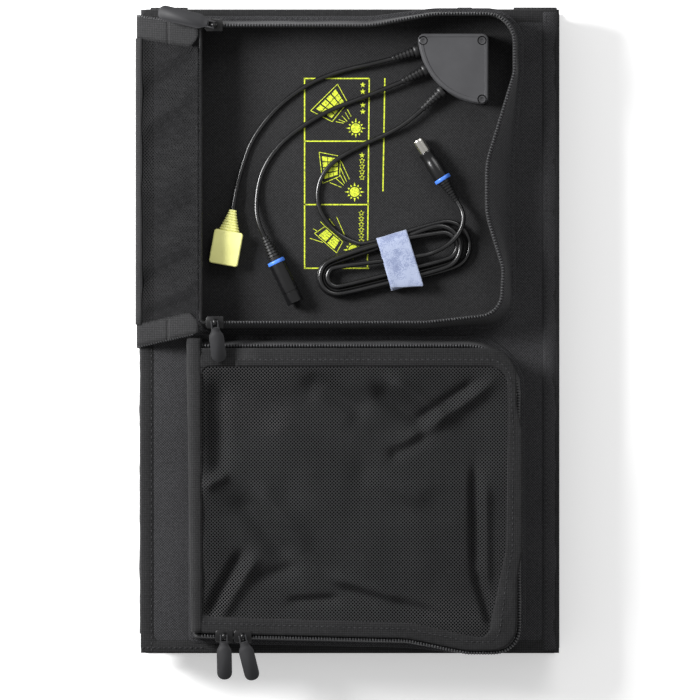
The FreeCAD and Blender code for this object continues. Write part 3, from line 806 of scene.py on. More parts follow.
def silicon():
    material, tree, shader = new_material("monocrystalline_silicon_cell", "#0d1430", 0.25,
                                          Coat_Weight=0.5)
    place = add(tree, "ShaderNodeTexCoord").outputs["Object"]
    axes = add(tree, "ShaderNodeSeparateXYZ", Vector=place)
    fingers = lines_every(tree, axes.outputs["Y"], 2.0, 0.1)
    bars = lines_every(tree, axes.outputs["X"], 39.0, 0.045)
    drawn = add(tree, "ShaderNodeMath", {"operation": "MAXIMUM"}, n0=fingers, n1=bars).outputs[0]
    mix = add(tree, "ShaderNodeMix", {"data_type": "RGBA"}, n0=drawn, n6=colour("#0d1430"),
              n7=colour("#8f949e"))
    tree.links.new(mix.outputs[2], shader.inputs["Base Color"])
    return material


tie_fabric = brushed_nylon()
print_ink = screen_ink()
laminate_film = clear_film()
cell_skin = silicon()

# %% [markdown]
# ## Pocket walls
#
# A pocket's wall is a soft band of cloth, sewn to the deck at its foot and to the zip at its top.
# It leans in a little because nothing inside holds it out. The loops run from the foot to the
# top; the foot has a narrow flange that lies on the deck, where the seam is.

# %% Walls of both pockets
def wall_loops(base, top, low_z, high_z, bulge, seed):
    """Loops from a flat flange on the deck up to the zip."""
    base_points = outline_points(base)
    top_points = outline_points(top)
    loops = [[Vector((p.x, p.y, low_z + 0.25)) for p in pushed(base_points, 3.2)],
             [Vector((p.x, p.y, low_z + 0.75)) for p in pushed(base_points, 2.6)],
             [Vector((p.x, p.y, low_z + 0.7)) for p in pushed(base_points, 0.4)]]
    for k in range(1, 9):
        t = k / 8
        loop = []
        for b, c in zip(base_points, top_points):
            p = b.lerp(c, t)
            out = bulge * math.sin(math.pi * t) * rumple(p.x, p.y, 24, 2.0, seed + t)
            loop.append(Vector((p.x + out, p.y + 0.6 * out, low_z + (high_z - low_z) * t)))
        loops.append(loop)
    return loops


for pocket, base, top, wall_top, bulge, seed in (
        ("upper", UPPER_BASE, UPPER_TOP, upper_wall_top, 0.9, 1.0),
        ("lower", LOWER_BASE, LOWER_TOP, lower_wall_top, 0.7, 4.0)):
    wall = sheet_through(wall_loops(base, top, deck_z, wall_top, bulge, seed))
    finish_piece(f"{pocket}_pocket_wall", wall, cloth, "panel_1", [f"gusset_{pocket}"],
                 thick=0.7)

# %% [markdown]
# Each pocket has a thin sheet on its deck, a darker copy of the cloth: it is painted shade for
# the inside of the pocket. The lower one is nearly black, painted deep shade that shows through
# the holes of its net.

# %% Painted shade on the pocket decks
for shade_sheet_name, base, skin in (("upper_pocket_painted_shade_sheet", UPPER_BASE, pocket_painted_shade),
                                ("lower_pocket_painted_shade_sheet", LOWER_BASE, pocket_painted_deep_shade)):
    shade_sheet_bm = bmesh.new()
    shade_sheet_bm.faces.new([shade_sheet_bm.verts.new((p.x, p.y, deck_z + 0.12))
                         for p in pushed(outline_points(base), -0.6)])
    bmesh.ops.triangulate(shade_sheet_bm, faces=shade_sheet_bm.faces)
    finish_piece(shade_sheet_name, shade_sheet_bm, skin, "panel_1", [], flat=True, outward=False)

# %% [markdown]
# ## Zips
#
# A coil zip is two rows of nylon loops sewn to tapes. The real loops are 1.3 mm apart, too fine
# to tell apart in a view of the whole pack, so they are drawn coarser, 1.9 mm apart. Each loop is
# one small rounded bead with few faces, because a zip repeats it hundreds of times.

# %% Tapes and coils
COIL_PITCH = 1.9
COIL_LENGTH = 1.35
COIL_HEIGHT = 1.5
TAPE_OUTER = 0.4


def add_bead(bm, size, place, turn):
    """One small rounded bead with few faces, turned and put in its place."""
    made = bmesh.ops.create_icosphere(bm, subdivisions=1, radius=0.5)["verts"]
    bmesh.ops.scale(bm, vec=size, verts=made)
    bmesh.ops.transform(bm, matrix=Matrix.Translation(place) @ turn, verts=made)


def coil_row(name, stops, z, width, node):
    """A row of zip coils; stops are (place, direction) pairs."""
    bm = bmesh.new()
    for place, direction in stops:
        turn = Matrix.Rotation(math.atan2(direction.y, direction.x), 4, "Z")
        add_bead(bm, (COIL_LENGTH, width, COIL_HEIGHT), (place.x, place.y, z), turn)
    finish_piece(name, bm, coil_nylon, "panel_1", [node], merge=0, outward=False)


def closed_tape(name, top, z, inner, drop):
    """A tape that lies on a wall's top edge and hangs over it on both sides."""
    points = outline_points(top)
    section = [(-inner, z - drop), (-inner + 0.4, z - 0.2), (-0.9, z + 0.25), (0.0, z + 0.3),
               (TAPE_OUTER - 0.3, z), (TAPE_OUTER + 0.2, z - drop)]
    bm = sheet_through([[Vector((p.x, p.y, height)) for p in pushed(points, push)]
                        for push, height in section])
    finish_piece(name, bm, tape, "panel_1", thick=0.35)


# pocket, its top outline, height, left end of the coils, their width, tape's reach and drop
for pocket, top, wall_top, left_end, width, inner, drop in (
        ("upper", UPPER_TOP, upper_wall_top, -97, 2.3, 1.3, 7.0),
        ("lower", LOWER_TOP, lower_wall_top, -99, 3.0, 1.4, 5.0)):
    line = pushed(outline_points(top), -0.5)
    stops = [stop for stop in walk(line, COIL_PITCH, closed=True) if stop[0].x > left_end]
    coil_row(f"{pocket}_zip_coils", stops, wall_top + 1.0, width, f"zip_{pocket}")
    closed_tape(f"{pocket}_zip_tape", top, wall_top, inner, drop)
    print(pocket, "zip has", len(stops), "coils")

# %% [markdown]
# ## Stitches
#
# Sewn seams show as rows of short threads. One stitch is a small capsule; a row follows any line
# with a stitch of 2.5 mm every 3.6 mm, sunk a little into the cloth.

# %% Stitch rows
STITCH_PITCH = 3.6
STITCH_LENGTH = 2.5
STITCH_WIDTH = 0.65
STITCH_HEIGHT = 0.6


def stitch_row(name, line, height, body, closed=False, pitch=STITCH_PITCH, keep=None):
    """Stitches along a line of flat points; height gives z at a place."""
    bm = bmesh.new()
    for place, direction in walk(line, pitch, closed):
        if keep and not keep(place):
            continue
        ahead = place + direction
        rise = height(ahead.x, ahead.y) - height(place.x, place.y)
        slope = Vector((direction.x, direction.y, rise))
        turn = slope.to_track_quat("X", "Z").to_matrix().to_4x4()
        add_bead(bm, (STITCH_LENGTH, STITCH_WIDTH, STITCH_HEIGHT),
                 (place.x, place.y, height(place.x, place.y)), turn)
    finish_piece(name, bm, thread, body, merge=0, outward=False)


def over_deck(rise):
    """A height for a line that lies a little over the deck."""
    return lambda x, y: deck_z + rise


def straight(*corners, step=20.0):
    """Flat points along straight lines."""
    line = []
    for a, b in zip(corners, corners[1:]):
        a, b = Vector(a), Vector(b)
        count = max(1, round((b - a).length / step))
        line += [a.lerp(b, k / count) for k in range(count)]
    return line + [Vector(corners[-1])]


stitch_row("spine_seam_stitches", straight((131.6, -213), (131.6, 213)), over_deck(1.1),
           "panel_1")
stitch_row("upper_wall_seam_stitches", pushed(outline_points(UPPER_BASE), 1.6),
           over_deck(1.05), "panel_1", closed=True, keep=lambda p: abs(p.y) < 214)
stitch_row("lower_wall_seam_stitches", pushed(outline_points(LOWER_BASE), 1.6),
           over_deck(1.05), "panel_1", closed=True, keep=lambda p: abs(p.y) < 213)
stitch_row("bottom_hem_stitches", straight((-139, -212.6), (-98, -212.6)),
           over_deck(0.75), "panel_1")
stitch_row("left_hem_stitches", straight((-133.2, -214), (-133.2, 214)),
           over_deck(0.6), "panel_1", pitch=4.2)

# %% [markdown]
# ## A net made of real holes
#
# The pocket flaps are a knitted net with rows of staggered holes. The real holes are a little
# finer; they are drawn 2.3 mm apart so that they show. A grid turned by 45 degrees gives the
# staggered rows. Insetting every face and deleting the inner ones leaves the strands, so light
# and shadow pass through the holes as they should.

# %% Net
NET_PITCH = 2.3
NET_STRAND = 0.2        # half a strand's width in the closed flap
OPEN_STRAND = 0.27      # and in the open one, which lies on the pack


def net_sheet(low_x, high_x, low_y, high_y, inside, strand=NET_STRAND):
    """A flat net that covers a region; inside(x, y) says which faces stay."""
    side = NET_PITCH / math.sqrt(2)
    reach = (high_x - low_x + high_y - low_y) / math.sqrt(2)
    count = math.ceil(reach / side)
    bm = bmesh.new()
    bmesh.ops.create_grid(bm, x_segments=count, y_segments=count, size=count * side / 2)
    turn = Matrix.Rotation(math.radians(45), 4, "Z")
    middle = Matrix.Translation(((low_x + high_x) / 2, (low_y + high_y) / 2, 0))
    bmesh.ops.transform(bm, matrix=middle @ turn, verts=bm.verts)
    outside = [f for f in bm.faces if not inside(*f.calc_center_median()[:2])]
    bmesh.ops.delete(bm, geom=outside, context="FACES")
    holes = list(bm.faces)
    bmesh.ops.inset_individual(bm, faces=holes, thickness=strand, use_even_offset=True)
    bmesh.ops.delete(bm, geom=holes, context="FACES")
    return bm


def inside_of(points):
    """A test for whether a place lies inside a closed outline."""
    def test(x, y):
        hit = False
        for a, b in zip(points, points[1:] + points[:1]):
            if (a.y > y) != (b.y > y) and x < a.x + (y - a.y) * (b.x - a.x) / (b.y - a.y):
                hit = not hit
        return hit
    return test

# %% [markdown]
# ## The closed flap of the lower pocket
#
# The flap is a net with a sewn cloth border. It is slack, so it sinks between the walls and holds
# soft folds. The folds are long, low ridges and valleys, each set by where it starts and ends,
# how wide it is and how high.

# %% Lower flap's surface
FLAP_REST = lower_rail[1].z + 0.45
FLAP_SAG = 3.2
# x and y of one end, x and y of the other, half width, height
LOWER_FOLDS = [(-89, -34, -87, -98, 7, -2.6), (-98, -104, -82, -96, 4, 1.6),
               (-74, -110, -40, -153, 8, -2.4), (-62, -104, -28, -146, 7, 1.7),
               (-95, -190, -72, -148, 4, -2.4), (-86, -190, -62, -150, 5, 2.0),
               (-66, -168, -34, -156, 5, -1.4), (-31, -32, 12, -54, 8, -2.0),
               (-24, -42, 2, -60, 6, 1.2), (16, -38, 56, -68, 6, -2.6),
               (28, -32, 66, -58, 5, 2.2), (96, -34, 30, -80, 5, 2.4),
               (84, -34, 44, -60, 4, -1.8), (52, -68, 26, -84, 5, -2.4),
               (10, -98, 52, -112, 9, 1.4), (0, -90, 44, -126, 8, -1.2),
               (83, -92, 84, -160, 3.2, -3.0), (84, -160, 95, -198, 3.2, -2.6),
               (90, -100, 91, -172, 4, 1.8), (-42, -181, -8, -179, 3.5, -1.8),
               (-14, -164, 34, -180, 4.5, 1.8), (-8, -170, 60, -190, 4, -1.6),
               (30, -120, 60, -160, 10, 1.0), (-50, -60, -20, -100, 12, 1.2)]
FOLD_GAIN = 2.2     # all heights in the table are raised by this


def fold_height(x, y, folds):
    """The sum of all folds at a place: each fades out sideways and at its ends."""
    total = 0.0
    for ax, ay, bx, by, width, height in folds:
        dx, dy = bx - ax, by - ay
        length = math.hypot(dx, dy)
        t = ((x - ax) * dx + (y - ay) * dy) / (length * length)
        off = ((x - ax) * dy - (y - ay) * dx) / length
        if -0.3 < t < 1.3 and abs(off) < 3 * width:
            fade = math.exp(-max(0.0, abs(t - 0.5) - 0.32) ** 2 / 0.03)
            total += FOLD_GAIN * height * fade * math.exp(-(off / width) ** 2)
    return total


def lower_surface(x, y):
    """The height of the lower flap: flat at its border, slack and folded inside."""
    inside = min(x + 99, 108 - x, -24 - y, y + 199)
    edge = share((inside + 4) / 10)
    return FLAP_REST - FLAP_SAG * eased(inside / 26) + edge * fold_height(x, y, LOWER_FOLDS) \
        + edge * rumple(x, y, 26, 1.8, 3.0)


LOWER_NET = [(-99, -23.5, 6), (105, -23.5, 26), (105.6, -50, 8), (105.4, -66, 8), (104, -146, 8),
             (100, -166, 8), (92, -204.5, 10), (80, -203.5, 20), (42, -195, 40), (-99, -190.5, 6)]
LOWER_EDGE = [(-101, -11.3, 3), (110.8, -11.3, 32), (111, -50, 8), (115, -66, 8), (115, -146, 8),
              (111.8, -164, 8), (111.6, -213, 20), (78, -213, 30), (38, -204.8, 50),
              (-101, -201.3, 3)]
net_edge = outline_points(LOWER_NET)
net_bm = net_sheet(-100, 106, -205, -23, inside_of(pushed(net_edge, 1.0)))
sum(f.calc_area() for f in net_bm.faces)
for vert in net_bm.verts:
    vert.co.z = lower_surface(vert.co.x, vert.co.y)
lower_net = finish_piece("lower_pocket_net", net_bm, net_yarn, "flap_lower", ["flap_lower"],
                         outward=False)
print("lower net has", len(lower_net.data.polygons), "faces")

# %% [markdown]
# The border is a strip of cloth folded over the net's edge. A corner of it beside the hinge is
# sewn to the pack, so it stays behind when the flap opens. The strip is built once and cut along
# that corner's two edges: one part goes with the flap, the other with the panel.

# %% Border of the lower flap
PATCH_X = -76.3
PATCH_Y = -24.7


def border_sheet():
    """The whole strip, from its outer edge to the net, cut along the corner's two edges."""
    outer = outline_points(LOWER_EDGE)
    loops = []
    for t in (0.0, 0.12, 0.3, 0.5, 0.7, 0.9, 1.0):
        loop = []
        for a, b in zip(outer, net_edge):
            p = a.lerp(b, t)
            ripple = rumple(p.x, p.y, 6, 0.35, 8.0) * math.sin(math.pi * t)
            edge = 0.35 if 0.05 < t < 0.95 else 0.0
            loop.append(Vector((p.x, p.y, lower_surface(p.x, p.y) * t + (FLAP_REST + 0.2) * (1 - t)
                                + edge + ripple)))
        loops.append(loop)
    bm = sheet_through(loops)
    for point, normal in (((PATCH_X, 0, 0), (1, 0, 0)), ((0, PATCH_Y, 0), (0, 1, 0))):
        cut_along(bm, point, normal)
    return bm


def in_patch(place):
    """Whether a place is in the corner that stays on the pack."""
    return place.x < PATCH_X and place.y > PATCH_Y


for name, body, staying, nodes in (("lower_flap_border", "flap_lower", False, []),
                                   ("lower_pocket_corner", "panel_1", True, ["pocket_corner"])):
    bm = border_sheet()
    other = [f for f in bm.faces if in_patch(f.calc_center_median()) != staying]
    bmesh.ops.delete(bm, geom=other, context="FACES")
    finish_piece(name, bm, cloth_edge, body, nodes, thick=0.6)


def border_line(t):
    """A closed line along the border, a share of the way from its outer edge to the net."""
    return [a.lerp(b, t) for a, b in zip(outline_points(LOWER_EDGE), net_edge)]


def on_border(t):
    """The height just over the border along that line."""
    return lambda x, y: lower_surface(x, y) * t + (FLAP_REST + 0.2) * (1 - t) + 0.75


stitch_row("lower_flap_border_stitches", border_line(0.62), on_border(0.62), "flap_lower",
           closed=True, keep=lambda p: not in_patch(p) and p.x > -98)

# %% [markdown]
# ## The seam strip on the lower pocket's left
#
# The flap hangs on the pack by a doubled strip along its left side. It is part of both.

# %% Left seam strip
SEAM_START = -4.5
SEAM_LENGTH = 196.5
SEAM_LEAN = 3.2
SEAM_STEPS = 60


def make_seam_strip():
    """The strip's section, pulled along the hinge; it leans inwards towards the bottom."""
    loops = []
    for k in range(SEAM_STEPS + 1):
        y = SEAM_START - SEAM_LENGTH * k / SEAM_STEPS
        lean = SEAM_LEAN * k / SEAM_STEPS
        rows = [(-109.2 + lean, deck_z + 12.0), (-108.6 + lean, lower_wall_top + 0.2),
                (-106.8 + lean, FLAP_REST + 0.5), (-104.0 + 0.6 * lean, FLAP_REST + 0.95),
                (-101.2 + 0.4 * lean, FLAP_REST + 0.85), (-98.9 + 0.2 * lean, FLAP_REST + 0.3)]
        loops.append([Vector((x + rumple(y, j, 8, 0.4, 2.0), y, z + rumple(y, j, 6, 0.25, 6.0)))
                      for j, (x, z) in enumerate(rows)])
    bm = sheet_through(loops, closed=False)
    piece = finish_piece("lower_flap_seam_strip", bm, cloth_edge, None, [], thick=0.6)
    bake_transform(piece)


make_seam_strip()

# %% [markdown]
# ## The open flap of the upper pocket
#
# This flap is thrown back over the pack's left side: it slopes down from its hinge to the edge,
# falls to the floor and lies under the pack. Its path is a profile in the XZ plane. A point of
# the flap is named by how far it is from the hinge and by its Y, and one function puts it in
# space, so the net, the tapes and the coils all share the same drape.

# %% Upper flap's surface
HINGE = Vector((-100.4, 0, upper_rail[1].z + 0.9))
BEND = Vector((-143.4, 0, 37.5))
FOOT = Vector((-143.4, 0, 1.0))
slope_length = (BEND - HINGE).length
fall_length = (FOOT - BEND).length
FLAP_LENGTH = 192.0
FLOOR_GAP = 0.45
# s and y of one end, s and y of the other, half width, height
UPPER_FOLDS = [(2, 184, 48, 156, 7, 1.3), (4, 160, 46, 134, 6, -1.1), (2, 132, 48, 118, 9, 1.0),
               (8, 104, 46, 92, 8, -0.8), (2, 88, 40, 64, 7, 1.1), (4, 52, 48, 30, 6, 1.2),
               (2, 30, 46, 14, 5, -1.0)]


def profile(s):
    """A point of the flap's middle line, a distance s from the hinge."""
    if s < 0:
        return HINGE + Vector((0.15, 0, s))
    if s < slope_length:
        return HINGE.lerp(BEND, s / slope_length)
    if s < slope_length + fall_length:
        return BEND.lerp(FOOT, (s - slope_length) / fall_length)
    return FOOT + Vector((s - slope_length - fall_length, 0, 0))


def flap_point(s, y, lift=0.0):
    """The place of a flap point, with its bends rounded off and its folds."""
    soft = sum((profile(s + d) for d in (-3.0, -1.5, 0.0, 1.5, 3.0)), Vector()) / 5
    along = (profile(s + 2) - profile(s - 2)).normalized()
    normal = along.cross(Vector((0, 1, 0)))
    loose = share(s / 8) * share((slope_length + 4 - s) / 12)
    inside = share((y - 2) / 18) * share((204 - y) / 18)
    folds = fold_height(s, y, UPPER_FOLDS) + rumple(s, y, 14, 0.8, 9.0) + 0.6
    place = soft + normal * (lift + loose * inside * folds)
    return Vector((place.x, y, max(place.z, FLOOR_GAP)))


def flap_top(s):
    """The flap's upper edge: it spreads as it falls, and is narrower under the pack."""
    if s < 50:
        return 202.5 + 9.0 * max(s, 0) / 50
    if s < 74:
        return 211.5
    if s < 90:
        return 211.5 - 9.5 * (s - 74) / 16
    return 202.0 - max(0.0, s - 168) ** 2 / 24


def flap_bottom(s):
    """The flap's lower edge, in the same way."""
    if s < 50:
        return -1.0 - 9.5 * max(s, 0) / 50
    if s < 74:
        return -10.5
    if s < 90:
        return -10.5 + 14.5 * (s - 74) / 16
    return 4.0 + max(0.0, s - 168) ** 2 / 24


BAND = 15.0
BAND_LIFT = 0.3
COIL_LIFT = 0.75
SEAM_INSET = 12.6
# part of the flap: name, from s, to s, blend bodies, blend start, blend end
FLAP_PARTS = [("slope", -2.8, 25.0, "panel_1", "flap_upper", (-99.9, 60.9), (-104.0, 60.9)),
              ("bend", 25.0, 68.0, "flap_upper", "flap_fall", (-138.6, 40.5), (-143.4, 31.0)),
              ("tail", 68.0, FLAP_LENGTH, "flap_fall", "flap_tail", (-143.4, 6.0), (-137.4, 1.0))]


def blend_part(piece):
    """Bake a piece of the flap's placement into its mesh."""
    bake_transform(piece)


def make_flap_net(part):
    """One part of the net, cut flat in (s, y) and then draped."""
    name, low, high = part[:3]
    bm = net_sheet(-3, FLAP_LENGTH, -12, 214, lambda s, y: low <= s < high
                   and flap_bottom(s) + BAND - 1 < y < flap_top(s) - BAND + 1
                   and s < FLAP_LENGTH - BAND + 2, OPEN_STRAND)
    sum(f.calc_area() for f in bm.faces)
    for vert in bm.verts:
        vert.co = flap_point(vert.co.x, vert.co.y)
    nodes = {"slope": ["flap_upper"], "bend": ["flap_fall"],
             "tail": ["flap_tail", "flap_tail_end"]}[name]
    piece = finish_piece(f"upper_flap_net_{name}", bm, net_yarn_painted_shade, None, nodes,
                         outward=False)
    blend_part(piece)
    print("upper flap's", name, "has", len(piece.data.polygons), "faces")
    return piece


def make_flap_bands(part):
    """Cloth bands along the flap's free edges, as strips in (s, y)."""
    name, low, high = part[:3]
    steps = max(6, round((high - low) / 2.5))
    bm = bmesh.new()
    for edge, inward in ((flap_top, -1), (flap_bottom, 1)):
        loops = []
        for k in range(steps + 1):
            s = low + (high - low) * k / steps
            width = BAND * min(1.0, max(0.35, (s + 6) / 14))
            loops.append([flap_point(s, edge(s) + inward * width * j / 5, BAND_LIFT)
                          for j in range(6)])
        take_in(bm, sheet_through(loops, closed=False))
    if name == "tail":      # the flap's far end has a band across it
        start = FLAP_LENGTH - BAND
        low_y, high_y = flap_bottom(start) + 0.5, flap_top(start) - 0.5
        loops = []
        for k in range(41):
            y = low_y + (high_y - low_y) * k / 40
            ends = min(y - flap_bottom(FLAP_LENGTH), flap_top(FLAP_LENGTH) - y)
            reach = BAND * min(1.0, max(0.2, 1 + ends / 30))
            loops.append([flap_point(start + reach * j / 4, y, BAND_LIFT) for j in range(5)])
        take_in(bm, sheet_through(loops, closed=False))
    if name == "bend":      # a strip under the net, where it turns over the pack's edge
        loops = []
        for k in range(31):
            y = flap_bottom(50) + BAND + (flap_top(50) - flap_bottom(50) - 2 * BAND) * k / 30
            loops.append([flap_point(s, y, -0.5) for s in (45.5, 47.5, 49.5, 51.5, 54.0, 57.0)])
        take_in(bm, sheet_through(loops, closed=False))
    piece = finish_piece(f"upper_flap_band_{name}", bm, tape, None, [], thick=0.5,
                         outward=False)
    blend_part(piece)


def make_flap_coils(part):
    """The flap's own row of zip coils, along its free edges, and the seam beside the net."""
    name, low, high = part[:3]
    coils, stitches = bmesh.new(), bmesh.new()
    for edge, inward in ((flap_top, -1), (flap_bottom, 1)):
        for bm, pitch, off, size in (
                (coils, COIL_PITCH, 0.0, (COIL_LENGTH, 2.4, 1.6)),
                (stitches, STITCH_PITCH, SEAM_INSET,
                 (STITCH_LENGTH, STITCH_WIDTH, STITCH_HEIGHT))):
            s = math.ceil(max(low, 4.0) / pitch) * pitch
            while s < high:
                here = flap_point(s, edge(s) + inward * off, COIL_LIFT)
                ahead = flap_point(s + 1, edge(s + 1) + inward * off, COIL_LIFT)
                turn = (ahead - here).to_track_quat("X", "Z").to_matrix().to_4x4()
                add_bead(bm, size, here, turn)
                s += pitch
    for kind, bm, material, slot in (("coils", coils, coil_nylon, "zip"),
                                     ("stitches", stitches, thread, "mesh")):
        piece = finish_piece(f"upper_flap_{kind}_{name}", bm, material, None, [], merge=0,
                             outward=False)
        blend_part(piece)


for flap_part in FLAP_PARTS:
    make_flap_net(flap_part)
    make_flap_bands(flap_part)
    make_flap_coils(flap_part)

# %% [markdown]
# ## Zip sliders
#
# A slider is a plate with a rounded nose that straddles the zip, with a side skirt on each side
# and a small arch that holds the puller's pin. The puller is a soft moulded tab on a short fork.
# Each table row gives the zip, the slider's place, which way its puller points, the puller's
# length, how far it droops, and the slider's own turn.

# %% Sliders and pullers
SLIDERS = {"up_top": (upper_rail, -90.6, 203.5, 166.0, 38.0, 3.5, 0.0),
           "up_low": (upper_rail, -90.0, 5.8, -83.0, 27.0, 13.0, 0.0),
           "low_left": (lower_rail, -84.0, -203.3, -89.0, 29.0, 4.0, -1.42),
           "low_right": (lower_rail, -71.6, -203.6, -76.0, 30.0, 4.0, -1.42)}
PIN_RISE = 3.5
PIN_RADIUS = 0.62
TAB_HALF = 5.0
TAB_ROUND = 4.6


def block(bm, low, high):
    """A box between two corners, added to a bmesh; returns its vertices."""
    made = bmesh.ops.create_cube(bm, size=1.0)["verts"]
    for vert in made:
        vert.co = Vector([low[i] if vert.co[i] < 0 else high[i] for i in range(3)])
    return made


def pair_of_blocks(bm, low_x, high_x, inner, outer, low_z, high_z):
    """Two boxes, one on each side of the part's middle plane."""
    block(bm, (low_x, -outer, low_z), (high_x, -inner, high_z))
    block(bm, (low_x, inner, low_z), (high_x, outer, high_z))


def round_edges(bm, edges, width, segments=2):
    """Bevel chosen edges."""
    bmesh.ops.bevel(bm, geom=edges, offset=width, segments=segments, affect="EDGES", profile=0.5,
                    material=-1)


def round_sharp(bm, width, segments=2, sharper_than=30):
    """Round every edge that is sharper than an angle."""
    round_edges(bm, [e for e in bm.edges if len(e.link_faces) == 2
                     and e.calc_face_angle() > math.radians(sharper_than)], width, segments)


def at_place(bm, place, heading, droop=0.0):
    """Turn a bmesh built along +X and move it to its place."""
    turn = Matrix.Rotation(math.radians(heading), 4, "Z")
    dip = Matrix.Rotation(math.radians(droop), 4, "Y")
    bmesh.ops.transform(bm, matrix=Matrix.Translation(place) @ turn @ dip, verts=bm.verts)


def prism_of(outline_2d, low, high):
    """An upright prism over a flat outline."""
    bm = bmesh.new()
    base = [bm.verts.new((p[0], p[1], low)) for p in outline_2d]
    face = bm.faces.new(base)
    raised = bmesh.ops.extrude_face_region(bm, geom=[face])["geom"]
    bmesh.ops.translate(bm, vec=(0, 0, high - low), verts=vertices_of(raised))
    return bm


SLIDER_HALF = [(-5.9, -2.6), (-4.6, -4.1), (-1.5, -4.2), (1.5, -3.7), (5.4, -4.2), (5.9, -3.6)]


def make_slider(name):
    """A waisted plate with two skirts, and an arch over it for the puller's pin."""
    rail, x, y, heading, _, _, tilt = SLIDERS[name]
    top = rail[1].z
    plate = prism_of(SLIDER_HALF + [(px, -py) for px, py in reversed(SLIDER_HALF)], 0.35, 1.5)
    pair_of_blocks(plate, -5.0, 5.2, 3.0, 4.1, -1.3, 0.6)
    round_sharp(plate, 0.3)
    at_place(plate, (x, y, top), tilt)
    arch = bmesh.new()
    section = [(-1.15, -0.45), (1.15, -0.45), (1.15, 0.45), (-1.15, 0.45)]
    rings = []
    for k in range(9):
        angle = math.pi * k / 8
        centre = Vector((2.0 * math.cos(angle), 0, 1.3 + 3.0 * math.sin(angle) ** 0.7))
        out = Vector((math.cos(angle), 0, math.sin(angle)))
        rings.append([arch.verts.new(centre + Vector((0, w, 0)) + out * t) for w, t in section])
    skin_over(arch, rings)
    at_place(arch, (x, y, top), heading)
    take_in(plate, arch)
    finish_piece(f"slider_{name}_body", plate, slider_black, f"slider_{name}", [f"slider_{name}"],
                 merge=0)


def tab_outline(length):
    """Half widths along the tab: a narrow neck, a straight body and a round end."""
    right = [(3.4, 2.9), (5.6, 2.9), (7.0, 3.6), (8.6, 4.6), (10.5, TAB_HALF),
             (length - TAB_ROUND, TAB_HALF)]
    right += [(length - TAB_ROUND + TAB_ROUND * math.sin(math.radians(a)),
               TAB_HALF - TAB_ROUND + TAB_ROUND * math.cos(math.radians(a)))
              for a in (18, 36, 54, 72, 90)]
    return right + [(x, -y) for x, y in reversed(right)]


def make_puller(name):
    """A tab with a sunk face, and the fork and pin that hold it to the slider."""
    rail, x, y, heading, length, droop, _ = SLIDERS[name]
    tab = prism_of(tab_outline(length), -0.9, 0.9)
    top_face = max(tab.faces, key=lambda f: f.calc_center_median().z)
    bmesh.ops.inset_region(tab, faces=[top_face], thickness=0.9, depth=0.0)
    bmesh.ops.inset_region(tab, faces=[top_face], thickness=0.25, depth=-0.3)
    round_sharp(tab, 0.28, sharper_than=60)
    fork = bmesh.new()
    pair_of_blocks(fork, -1.1, 4.6, 1.5, 2.7, -0.9, 0.9)
    round_sharp(fork, 0.4)
    bmesh.ops.create_cone(fork, cap_ends=True, segments=14, radius1=PIN_RADIUS,
                          radius2=PIN_RADIUS, depth=5.2,
                          matrix=Matrix.Rotation(math.radians(90), 4, "X"))
    for part_name, bm, nodes in (("tab", tab, [f"puller_{name}"]), ("fork", fork, [])):
        at_place(bm, (x, y, rail[1].z + PIN_RISE), heading, droop)
        finish_piece(f"puller_{name}_{part_name}", bm, puller_rubber, f"puller_{name}", nodes,
                     merge=0)


for slider_name in SLIDERS:
    make_slider(slider_name)
    make_puller(slider_name)

# %% [markdown]
# ## The junction box
#
# Three leads meet in a moulded box shaped like a quarter disc. The lid has a small step round its
# edge and three round wells. Each well holds the head of a screw with a hexagon socket.

# %% Box and lid
BOX_CORNER = Vector((92.6, 199.0))
BOX_SIDE = 47.5
BOX_FLOOR = deck_z + 0.2
BOX_SPLIT = BOX_FLOOR + 12.0
BOX_TOP = BOX_SPLIT + 3.5
SCREWS = [(48.9, 194.2), (88.2, 194.2), (88.2, 155.0)]
WELL_RADIUS = 3.1
SAME_PLACE = 1e-4


def sector_points(shrink):
    """A quarter disc with rounded corners, inset by a distance."""
    far = BOX_SIDE - shrink * (1 + math.sqrt(2))
    corner = BOX_CORNER - Vector((shrink, shrink))
    turned = [corner + far * Vector((math.cos(math.radians(a)), math.sin(math.radians(a))))
              for a in (258, 246, 235, 225, 215, 204, 192)]
    corners = [(corner.x - far, corner.y, 4.0), (corner.x, corner.y, 4.0),
               (corner.x, corner.y - far, 4.0)] + [(p.x, p.y, 30.0) for p in turned]
    return outline_points(corners, per_corner=5, per_side=2)


def shell_through(steps):
    """Walls through inset outlines: each step is (inset, height)."""
    return sheet_through([[Vector((p.x, p.y, z)) for p in sector_points(inset)]
                          for inset, z in steps])


def filled(bm, height):
    """Close the boundary loop at a height with one face."""
    rim = [e for e in bm.edges if e.is_boundary and abs(e.verts[0].co.z - height) < SAME_PLACE]
    bmesh.ops.contextual_create(bm, geom=rim)


base_bm = shell_through([(1.0, BOX_FLOOR), (0.3, BOX_FLOOR + 0.6), (0.0, BOX_FLOOR + 1.6),
                         (0.0, BOX_SPLIT - 0.35), (0.2, BOX_SPLIT)])
filled(base_bm, BOX_FLOOR)
filled(base_bm, BOX_SPLIT)
finish_piece("junction_box_base", base_bm, case_abs, "panel_1", ["box_base"])

